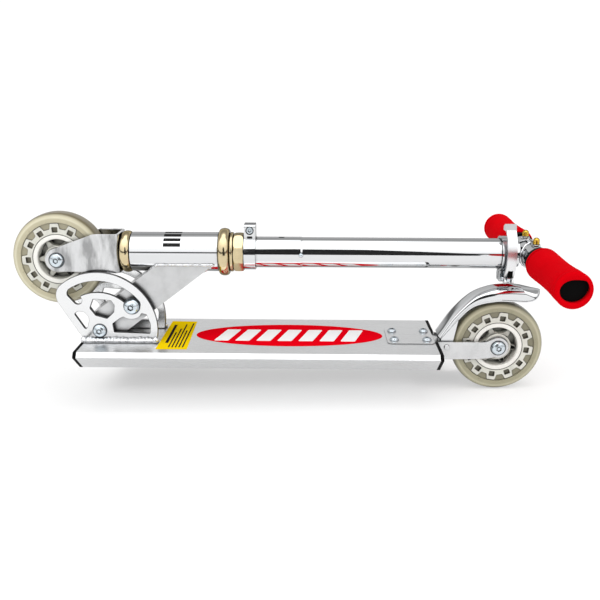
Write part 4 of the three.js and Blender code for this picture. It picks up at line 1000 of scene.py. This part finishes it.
def saddle_weld():
    seam = []
    across = [TUBE_HALF * (k / 24 * 2 - 1) for k in range(25)]
    for v, order in ((TUBE_HALF, across), (-TUBE_HALF, across[::-1])):
        for y in order:
            z = LINE_Z - math.sqrt((HEAD_R + 0.2) ** 2 - y * y)
            seam.append((on_tube(z, v), y, z))
    return tube(along([*seam, seam[0]], 0.8)[:-1], 1.5, 14, closed=True, ripple=0.3, period=3.6)


piece("head_weld", saddle_weld(), WELD, "head", slot="satin_aluminium", sharp=60)
line_tube("head_tube_turned", "head_tube", 17.6, HEAD_R, CHROME, "head", 0.6, 4, 128)

marks = []
for start, stop in ((26, 37), (43, 54), (61, 74), (82, 100)):
    shape = bmesh.new()
    angles = [math.radians(start + (stop - start) * k / 6) for k in range(7)]
    grid = [[shape.verts.new((x, -(HEAD_R + lift) * math.cos(a), LINE_Z + (HEAD_R + lift) * math.sin(a)))
             for a in angles] for x, lift in ((-121, 0), (-120.85, 0.06), (-103.15, 0.06), (-103, 0))]
    for a, b in zip(grid, grid[1:]):
        for k in range(6):
            shape.faces.new([a[k], a[k + 1], b[k + 1], b[k]])
    bmesh.ops.recalc_face_normals(shape, faces=shape.faces)
    marks.append(shape)
piece("head_tube_bars", merged(*marks), DARK_PRINT_AND_SLOT_SHADE, "head", sharp=60)


def cup(label, start, stop, radius):
    width = stop - start
    bulge = [(radius - 5.2 + 5.2 * math.sin(a) ** 0.6, start + width * (0.5 - 0.5 * math.cos(a)))
             for a in (math.pi * k / 24 for k in range(25))]
    shape = on_line([(14.9, start), *bulge, (14.9, stop)], 128)
    piece(f"{label}_cup_pressed", shape, GOLD, "head", f"{label}_headset_cup", sharp=50)


cup("lower", low("lower_headset_cup").x, HEAD_LOW.x - 0.2, 22.1)
cup("upper", HEAD_HIGH.x + 0.2, high("upper_headset_cup").x, 25.2)
to_tube = Matrix.Translation((PIVOT.x, 0, PIVOT.z)) @ Matrix.Rotation(-TUBE_ANGLE, 4, "Y")
lock_coil = tube([to_tube @ Vector((p.y, -p.x, p.z)) for p in coil(5.0, 6, 9, 36, 200)], 0.6, 12)
piece("lock_spring_wire", lock_coil, STRAP_SATIN, "head", "lock_spring")

# ---------- fork and column ----------
FORK_LOW, FORK_HIGH = span("fork")
CROWN_X = FORK_HIGH.x
BLADE, AXLE_HALF = 2.8, 16.0


def fork():
    half = FORK_HIGH.y
    outer = [(-250, AXLE_HALF), (-216, AXLE_HALF, 6), (-202, half, 6), (CROWN_X, half, 5)]
    inner = [(CROWN_X - BLADE, half - BLADE, 2.3), (-202, half - BLADE, 6), (-216, AXLE_HALF - BLADE, 6),
             (-250, AXLE_HALF - BLADE)]
    loop = rounded([*outer, *mirrored(outer), *mirrored(inner), *inner], 0, 8)
    side = [(CROWN_X + 2, FORK_LOW.z), (CROWN_X + 2, FORK_HIGH.z), (-194.3, FORK_HIGH.z, 8),
            *arc(FRONT.x, FRONT.z, 12.2, 110, 270, 40)]
    blades = block(rounded(side, 0, 6), -30, 30, "Y", [circle(FRONT.x, FRONT.z, 4.3, 40)])
    return combined(block(loop, FORK_LOW.z - 2, FORK_HIGH.z + 2, "Z"), (KEEP, blades))


piece("fork_folded", fork(), BLADE_SATIN, "steering", "fork", bevel=0.45)
fasten("front_axle", "steering", FRONT, 16.2, radius=7.4, height=3.9, socket=5.4)

start, stop = low("headset_locknut").x, high("headset_locknut").x
octagon = prism(ngon(8, 38.5, 0, (0, LINE_Z)), start, stop, "X", bevel=0.2, steps=1)
chamfer = on_line([(0, start), (18.7, start), (19.9, start + 0.6), (20.6, start + 1.7),
                   (20.9, (start + stop) / 2), (20.6, stop - 1.7), (19.9, stop - 0.6), (18.7, stop),
                   (0, stop)])
locknut = combined(octagon, (KEEP, chamfer), (CUT, on_line(rect(0, -100, 14.5, 0))))
piece("locknut_octagon", locknut, GOLD, "steering", "headset_locknut", bevel=0.4)
line_tube("adjuster_ring", "headset_adjuster", 14.5, 20.9, GOLD, "steering", 1.3, 6)
line_tube("steerer_turned", "steerer_tube", 12.2, 14.2, STRAP_SATIN, "steering", sides=64)

collar_low, collar_high = span("stem_collar")
EAR_TOP = collar_high.z
COLLAR_X = (collar_low.x + collar_high.x) / 2
STEM_BOLT = (COLLAR_X, 0, LINE_Z + 24.3)
band = on_line(rect(16.6, collar_low.x, 18.6, collar_high.x), 128)
ears = [(-8.5, LINE_Z + 15.5), (8.5, LINE_Z + 15.5), (8.5, EAR_TOP, 2.5), (-8.5, EAR_TOP, 2.5)]
ears = block(rounded(ears, 0, 6), collar_low.x, collar_high.x, "X")
inside = on_line(rect(0, -100, 16.6, 100), 128)
slit = block(rect(-1, LINE_Z + 10, 1, EAR_TOP + 5), -60, 0, "X")
seat = lathe([(0, -12), (4.4, -12), (4.4, -5), (2.8, -5), (2.8, 12), (0, 12)], "Y", STEM_BOLT, 48)
collar = combined(band, (ADD, ears), (CUT, inside), (CUT, slit), (CUT, seat))
piece("stem_collar_cast", collar, CHROME, "steering", "stem_collar", bevel=0.5)
bolt = [(0, -8.3), (3.2, -8.3), (3.8, -7.7), (3.8, -5.1), (2.5, -5.1), (2.5, 8), (0, 8)]
bolt = lathe(bolt, "Y", STEM_BOLT, 48)
socket = thin(ngon(6, 3.6, 0, (COLLAR_X, STEM_BOLT[2])), -9, -6.4, "Y", 0.05)
piece("stem_bolt_socket", combined(bolt, (CUT, socket)), ZINC, "steering", "stem_collar_bolt", sharp=40)
# a dark film on the collar's ear, painted shade standing for a slot
key_slot = rounded(rect(COLLAR_X - 2.9, LINE_Z + 16.6, COLLAR_X + 2.9, LINE_Z + 18.4), 0.8, 3)
piece("stem_collar_slot_mark", thin(key_slot, -8.58, -8.4, "Y"), DARK_PRINT_AND_SLOT_SHADE, "steering")

column_low, column_high = span("column_tube")
SWAGE_R, COLUMN_R, SWAGE_END = 16.3, 15.9, 21.8
outer = rounded([(14.6, column_low.x), (SWAGE_R, column_low.x), (SWAGE_R, SWAGE_END, 2),
                 (COLUMN_R, SWAGE_END + 2, 2), (COLUMN_R, column_high.x, 0.5),
                 (14.6, column_high.x, 0.4)], 0.3, 5)
piece("column_drawn", on_line(outer, 160), CHROME, "steering", "column_tube", sharp=50)
# a dark film on the column, painted shade standing for its slot
column_slot = rounded(rect(-1.4, -2.6, 4.6, -0.6), 0.9, 4)
column_slot = thin(column_slot, LINE_Z + SWAGE_R - 0.3, LINE_Z + SWAGE_R + 0.03, bevel=0.05)
piece("column_slot_mark", column_slot, DARK_PRINT_AND_SLOT_SHADE, "steering")
rivet = middle("column_rivet")
dome = [(0, -0.95), (0.9, -0.88), (1.7, -0.6), (2.2, -0.1), (2.3, 0.3), (0, 0.3)]
dome = lathe(dome, "Y", (rivet.x, -SWAGE_R, rivet.z), 32)
piece("column_rivet_domed", dome, ZINC, "steering", "column_rivet")

# ---------- quick release ----------
qr_low, qr_high = span("qr_collar")
BOLT_Z = LINE_Z - 23.5
QR_BOLT, LEVER_PIN = (QR_X, 0, BOLT_Z), (QR_X, -15, BOLT_Z)
band = on_line(rect(16.2, qr_low.x, 18.6, qr_high.x), 128)
ears = [(-8, BOLT_Z - 5.5, 2.5), (8, BOLT_Z - 5.5, 2.5), (8, LINE_Z - 14.5), (-8, LINE_Z - 14.5)]
ears = block(rounded(ears, 0, 6), qr_low.x + 0.5, qr_high.x - 0.5, "X")
inside = on_line(rect(0, 0, 16.2, 300), 128)
slit = block(rect(-1.2, LINE_Z - 40, 1.2, LINE_Z - 10), 200, 280, "X")
hole = lathe(rect(0, -20, 2.8, 20), "Y", QR_BOLT, 40)
collar = combined(band, (ADD, ears), (CUT, inside), (CUT, slit), (CUT, hole))
piece("qr_collar_cast", collar, CHROME, "steering", "qr_collar", bevel=0.5)
eye = lathe(rounded(rect(2.5, -1.1, 4.6, 2.4), 0.4, 3), "X", LEVER_PIN, 40)
shank = [(0, -11.5), (1.1, -11.5), (1.1, -9.1), (2.5, -9.1), (2.5, 13.6), (2.2, 14), (0, 14)]
shank = lathe(shank, "Y", QR_BOLT, 40)
piece("qr_bolt_eye", merged(eye, shank), ZINC, "steering", "qr_bolt", sharp=40)
knurl = [(5.2 - 0.35 * (k % 2), 2 * math.pi * k / 48) for k in range(48)]
nut_face = [(QR_X + r * math.cos(a), BOLT_Z + r * math.sin(a)) for r, a in knurl]
qr_nut = prism(nut_face, 8.3, 13.3, "Y", [circle(QR_X, BOLT_Z, 2.8, 32)], 0.5)
piece("qr_nut_knurled", qr_nut, ZINC, "steering", "qr_nut", sharp=25)


def lever():
    """A forked cam at the foot with a band curved up round the collar, and a finger tab."""
    half = 4.9
    mid = QR_X + 1.3
    centre = (8, LINE_Z + 1)
    tab = [(-11.4, LINE_Z + 33.6), (-5.5, LINE_Z + 31)]
    side = [*arc(*centre, 34, 222, 122, 40), *tab, (-5.5, LINE_Z + 27.5), *arc(*centre, 31, 122, 216, 40)[1:],
            *arc(-15, BOLT_Z, 5.6, 330, 200, 24)]
    thumb = [*tab, (-5.5, LINE_Z + 26.5), (-14, LINE_Z + 26.5)]
    thumb = block(thumb, mid - half - 1.4, mid + half + 0.4, "X")
    window = block(rect(mid - 2.6, LINE_Z - 60, mid + 2.6, LINE_Z - 13.4), -40, 0, "Y")
    pin_hole = lathe(rect(0, -20, 2.3, 20), "X", LEVER_PIN, 32)
    return combined(block(side, mid - half, mid + half, "X"), (CUT, window), (CUT, pin_hole)), thumb


band_shape, tab_shape = lever()
piece("qr_lever_cast", band_shape, CAST, "qr_lever", "qr_lever", bevel=0.6)
piece("qr_lever_tab", tab_shape, TAB, "qr_lever", bevel=1.0)
# a black block behind the lever's window, painted shade for the dark space seen through it
pad = prism(rect(QR_X - 1.3, LINE_Z - 21.5, QR_X + 3.9, LINE_Z - 14.5), -21.6, -19.6, "Y", bevel=0.2, steps=1)
piece("qr_lever_cam_pad", pad, BLACK, "qr_lever")
start, stop = low("qr_lever_pin").x, high("qr_lever_pin").x
pin = [(0, start), (1.8, start), (2.2, start + 0.4), (2.2, stop - 0.4), (1.8, stop), (0, stop)]
pin = lathe(pin, "X", (0, *LEVER_PIN[1:]), 32)
piece("qr_lever_pin_turned", pin, ZINC, "steering", "qr_lever_pin", sharp=30)

# ---------- handlebar ----------
BAR = (BAR_X, 0, LINE_Z)
CROSS_R, CROSS_HALF = high("cross_tube").z - LINE_Z, high("cross_tube").y
BUTTON_Y = middle("handle_button_right").y
line_tube("inner_tube_drawn", "inner_tube", 12.6, 14.1, CHROME, "handlebar")
cross = lathe(rounded(rect(11.4, -CROSS_HALF, CROSS_R, CROSS_HALF), 0.4, 4), "Y", BAR, 128)
cutters = [(CUT, lathe(rect(0, 5, 3.4, 30), "Z", (BAR_X, sign * BUTTON_Y, LINE_Z), 40))
           for _, sign in LEFT_RIGHT]
piece("cross_tube_drawn", combined(cross, *cutters), CHROME, "handlebar", "cross_tube", bevel=0.25)
seam = []
for k in range(72):
    a = 2 * math.pi * k / 72
    y, z = 14.4 * math.cos(a), 14.4 * math.sin(a)
    depth = math.sqrt(max(0.4, (CROSS_R + 0.3) ** 2 - min(z * z, CROSS_R * CROSS_R)))
    seam.append((BAR_X - depth, y, LINE_Z + z))
weld = tube(seam, 1.3, 14, closed=True, ripple=0.3, period=3.4)
piece("cross_tube_weld", weld, WELD, "handlebar", sharp=60)


def snap_button(label, sign):
    node = f"handle_button_{label}"
    at = (BAR_X, sign * BUTTON_Y, LINE_Z)
    top = high(node).z - LINE_Z
    stem = [(0, 11.35), (2.9, 11.35), (2.9, 14.6), (3.3, 14.9), (3.35, 16.1), (3.1, 16.35), (3.1, 16.6),
            (3.35, 16.85)]
    crown = arc(0, top - 3.1, 3.1, 0, 90, 12)
    crown = [(r * 3.35 / 3.1, h) for r, h in crown[:-1]]
    button = lathe([*stem, *crown, (0, top)], "Z", at, 48)
    piece(f"button_{label}_turned", button, BRASS, f"button_{label}", node, sharp=40)
    seat = rounded([(3.45, 12.0), (4.6, 12.0), (4.2, 14.4), (3.45, 14.4)], 0.4, 3)
    piece(f"button_{label}_collar", lathe(seat, "Z", at, 48), CHROME, "handlebar")


def bar_ring(name, node, inner, outer, corner, steps, look, body, *cuts):
    """A tube or ring on the handlebar's line, as long as its node."""
    start, stop = low(node).y, high(node).y
    shape = lathe(rounded(rect(inner, start, outer, stop), corner, steps), "Y", BAR)
    piece(name, combined(shape, *cuts) if cuts else shape, look, body, node)


def foam_grip(label, sign):
    """A rim with a slim groove at the inner end, a waist, and a swollen outer end with a torn hole."""
    start, stop, radius = 47.0, 149.0, 16.8
    outer_groove = -1.5 if sign > 0 else -0.3
    inner_end = [(0, -3.2), (0.8, -1.2), (2.2, -0.1), (4.6, 0.1), (5.3, -0.5), (6.2, -2.2), (7.0, -2.2),
                 (7.9, -0.5), (9, 0), (16, -0.15), (28, -0.55), (44, -0.9), (60, -0.9), (74, -0.5), (84, 0)]
    outer_end = [(11, 0.1), (8.6, -0.3), (7, outer_groove), (5.4, 0.1), (4, 0.35), (1.8, 0.2), (0.5, -0.8),
                 (0.05, -2.2), (0, -3.6)]
    outside = [(start + h, radius + r, 0) for h, r in inner_end]
    outside += [(stop - h, radius + r, 0) for h, r in outer_end]
    hole = [(11.4, stop - 0.1), (10.9, stop - 0.8), (10.7, stop - 2), (10.7, stop - 5.6), (11.2, stop - 5.7)]
    profile = [(11.2, start + 0.2), *[(p.y, p.x) for p in spline(outside, 5)], *hole]
    grip = lathe([(r, sign * h) for r, h in profile], "Y", (0, 0, 0), 128)
    for vert in grip.verts:
        if math.hypot(vert.co.x, vert.co.z) < 11.6 and abs(vert.co.y) > stop - 6:
            angle = math.atan2(vert.co.z, vert.co.x)
            corner = max(0.0, math.cos(angle - 0.45)) ** 6
            vert.co.x *= 1.17 + 0.17 * corner
            vert.co.z *= (0.9 if angle > 0 else 1.04) + 0.32 * corner
    made = piece(f"foam_grip_{label}", moved(grip, BAR), FOAM, f"handle_{label}", f"grip_{label}", sharp=70)
    plug = [(0, stop - 5.9), (15, stop - 5.9), (15, stop - 5.3), (0, stop - 5.5)]
    plug = lathe([(r, sign * h) for r, h in plug], "Y", BAR, 48)
    piece(f"grip_plug_{label}", plug, BLACK, f"handle_{label}")


for label, sign in LEFT_RIGHT:
    snap_button(label, sign)
    ferrule = f"cross_tube_ferrule_{label}"
    bar_ring(f"ferrule_{label}_moulded", ferrule, 12.9, 14.3, 0.6, 4, BLACK, "handlebar")
    catch = lathe(rect(0, 5, 4.3, 30), "Z", (BAR_X, sign * BUTTON_Y, LINE_Z), 40)
    bar_ring(f"handle_tube_{label}_drawn", f"handle_tube_{label}", 9.6, 11, 0.3, 3, CHROME, f"handle_{label}",
             (CUT, catch))
    foam_grip(label, sign)

# ---------- floor, light and camera ----------
# The floor passes under the rear wheel, and under the front wheel when the scooter is unfolded.
hinge = Vector(HINGE["pos_m"]) / MM
unfolded = Matrix.Rotation(math.radians(FOLD), 3, Vector(HINGE["axis"])) @ (FRONT - hinge) + hinge
slope = math.atan2(REAR.z - unfolded.z, REAR.x - unfolded.x)
contact = REAR + Vector((math.sin(slope), 0, -math.cos(slope))) * WHEEL_R

SKY, OVERHEAD, FLOOR_WHITE, FLOOR_GLOW, WALL_GLOW = 2.4, 2.2, 0.48, 0.49, 1.05


def grey(value):
    return (value, value, value)


def staged(shape, name, material, *unseen_by):
    """A part of the studio, which the kinds of ray given don't see."""
    made = as_object(shape, name)
    made.data.materials.append(material)
    for ray in unseen_by:
        setattr(made, f"visible_{ray}", False)


def dark_material(name, darkest, lightest, rough):
    mat, tree, shader = new_material(name)
    stops = [(0.3, grey(darkest)), (0.7, grey(lightest))]
    tree.links.new(ramp(tree, noise(tree, 6.0), stops), shader.inputs["Base Color"])
    shader.inputs["Roughness"].default_value = rough
    return mat


floor_mat, tree, shader = new_material("studio_floor")
grain = noise(tree, 3.0, detail=3.0)
stops = [(0.3, grey(FLOOR_WHITE)), (0.7, grey(FLOOR_WHITE * 1.01))]
tree.links.new(ramp(tree, grain, stops), shader.inputs["Base Color"])
tree.links.new(ranged(tree, grain, 0.7, 0.8), shader.inputs["Roughness"])
shader.inputs["Specular IOR Level"].default_value = 0.1
shader.inputs["Emission Color"].default_value = (1, 1, 1, 1)
shader.inputs["Emission Strength"].default_value = FLOOR_GLOW
sheet = bmesh.new()
bmesh.ops.create_grid(sheet, x_segments=8, y_segments=8, size=30)
floor = as_object(sheet, "studio_floor")
floor.data.materials.append(floor_mat)
floor.rotation_euler = (0, -slope, 0)
floor.location = contact * MM


def sky(tree, height, bands):
    """A ramp from straight down to straight up, given as elevations in degrees and brightnesses."""
    return ramp(tree, height, [(0.5 + 0.5 * math.sin(math.radians(e)), grey(v / SKY)) for e, v in bands])


world = bpy.data.worlds.new("studio")
bpy.context.scene.world = world
world.use_nodes = True
tree = world.node_tree
coords = tree.nodes.new("ShaderNodeTexCoord")
split = tree.nodes.new("ShaderNodeSeparateXYZ")
tree.links.new(coords.outputs["Generated"], split.inputs["Vector"])
height = ranged(tree, split.outputs["Z"], 0, 1, -1, 1)
rear_sky = sky(tree, height, ((-90, 0.9), (0, 0.9), (3, 0.25), (7, 0.25), (10, 0.95), (26, 0.9), (42, 0.42),
                              (56, 0.42), (68, 0.7), (76, OVERHEAD), (90, OVERHEAD)))
front_sky = sky(tree, height, ((-90, 0.9), (2, 0.9), (3, 0.06), (8.5, 0.06), (10, 1.2), (30, 1.4),
                               (60, OVERHEAD), (90, OVERHEAD)))
mix = mixed(tree, front_sky, rear_sky)
tree.links.new(ranged(tree, split.outputs["Y"], 0, 1, -0.12, 0.0), mix.inputs["Factor"])
background = tree.nodes["Background"]
tree.links.new(mix.outputs["Result"], background.inputs["Color"])
background.inputs["Strength"].default_value = SKY

# a white wall all round, which closes the view and lights nothing
wall_mat = bpy.data.materials.new("white_wall")
wall_mat.use_nodes = True
tree = wall_mat.node_tree
glow = tree.nodes.new("ShaderNodeEmission")
glow.inputs["Color"].default_value = (1, 1, 1, 1)
glow.inputs["Strength"].default_value = WALL_GLOW
tree.links.new(glow.outputs["Emission"], tree.nodes["Material Output"].inputs["Surface"])
drum = lathe(rect(6, -6, 6.12, 7.2), "Z", sides=64)
staged(drum, "white_wall", wall_mat, "diffuse", "glossy", "transmission", "shadow")

# the photographer, seen only as the dark line along the tubes
sheet = bmesh.new()
sheet.faces.new([sheet.verts.new((x, -1.0, z)) for x, z in
                 ((-0.14, 0.03), (-0.14, 0.74), (-0.02, 0.84), (0.17, 0.8), (0.42, 0.26), (0.42, 0.03))])
staged(sheet, "dark_card", dark_material("dark_card", 0.008, 0.02, 0.9), "camera", "diffuse", "shadow")

# flags just above the floor that deepen the shadow under the deck and the rear wheel
sheet = bmesh.new()
for x0, x1, y0, y1, lift in ((-202, 186, 12, 78, 18), (-196, -95, 34, 84, 12), (150, 222, 0, 46, 10)):
    corners = [(x, y, contact.z + (x - contact.x) * math.tan(slope) + lift) for x, y in rect(x0, y0, x1, y1)]
    sheet.faces.new([sheet.verts.new(Vector(corner) * MM) for corner in corners])
staged(sheet, "shadow_flag", dark_material("shadow_flag", 0.02, 0.03, 0.5), "camera", "glossy")

lens = bpy.data.cameras.new("camera")
lens.lens = 46.8
lens.sensor_width = 36
camera = bpy.data.objects.new("camera", lens)
bpy.context.scene.collection.objects.link(camera)
camera.location = (0.0352, -0.8076, 0.3295)
aim = Matrix.Identity(3)
for degrees, axis in ((1.0, "Z"), (90 - 16.1, "X"), (0.13, "Z")):
    aim = aim @ Matrix.Rotation(math.radians(degrees), 3, axis)
camera.rotation_euler = aim.to_euler()
bpy.context.scene.camera = camera
bpy.context.scene.view_settings.view_transform = "Standard"
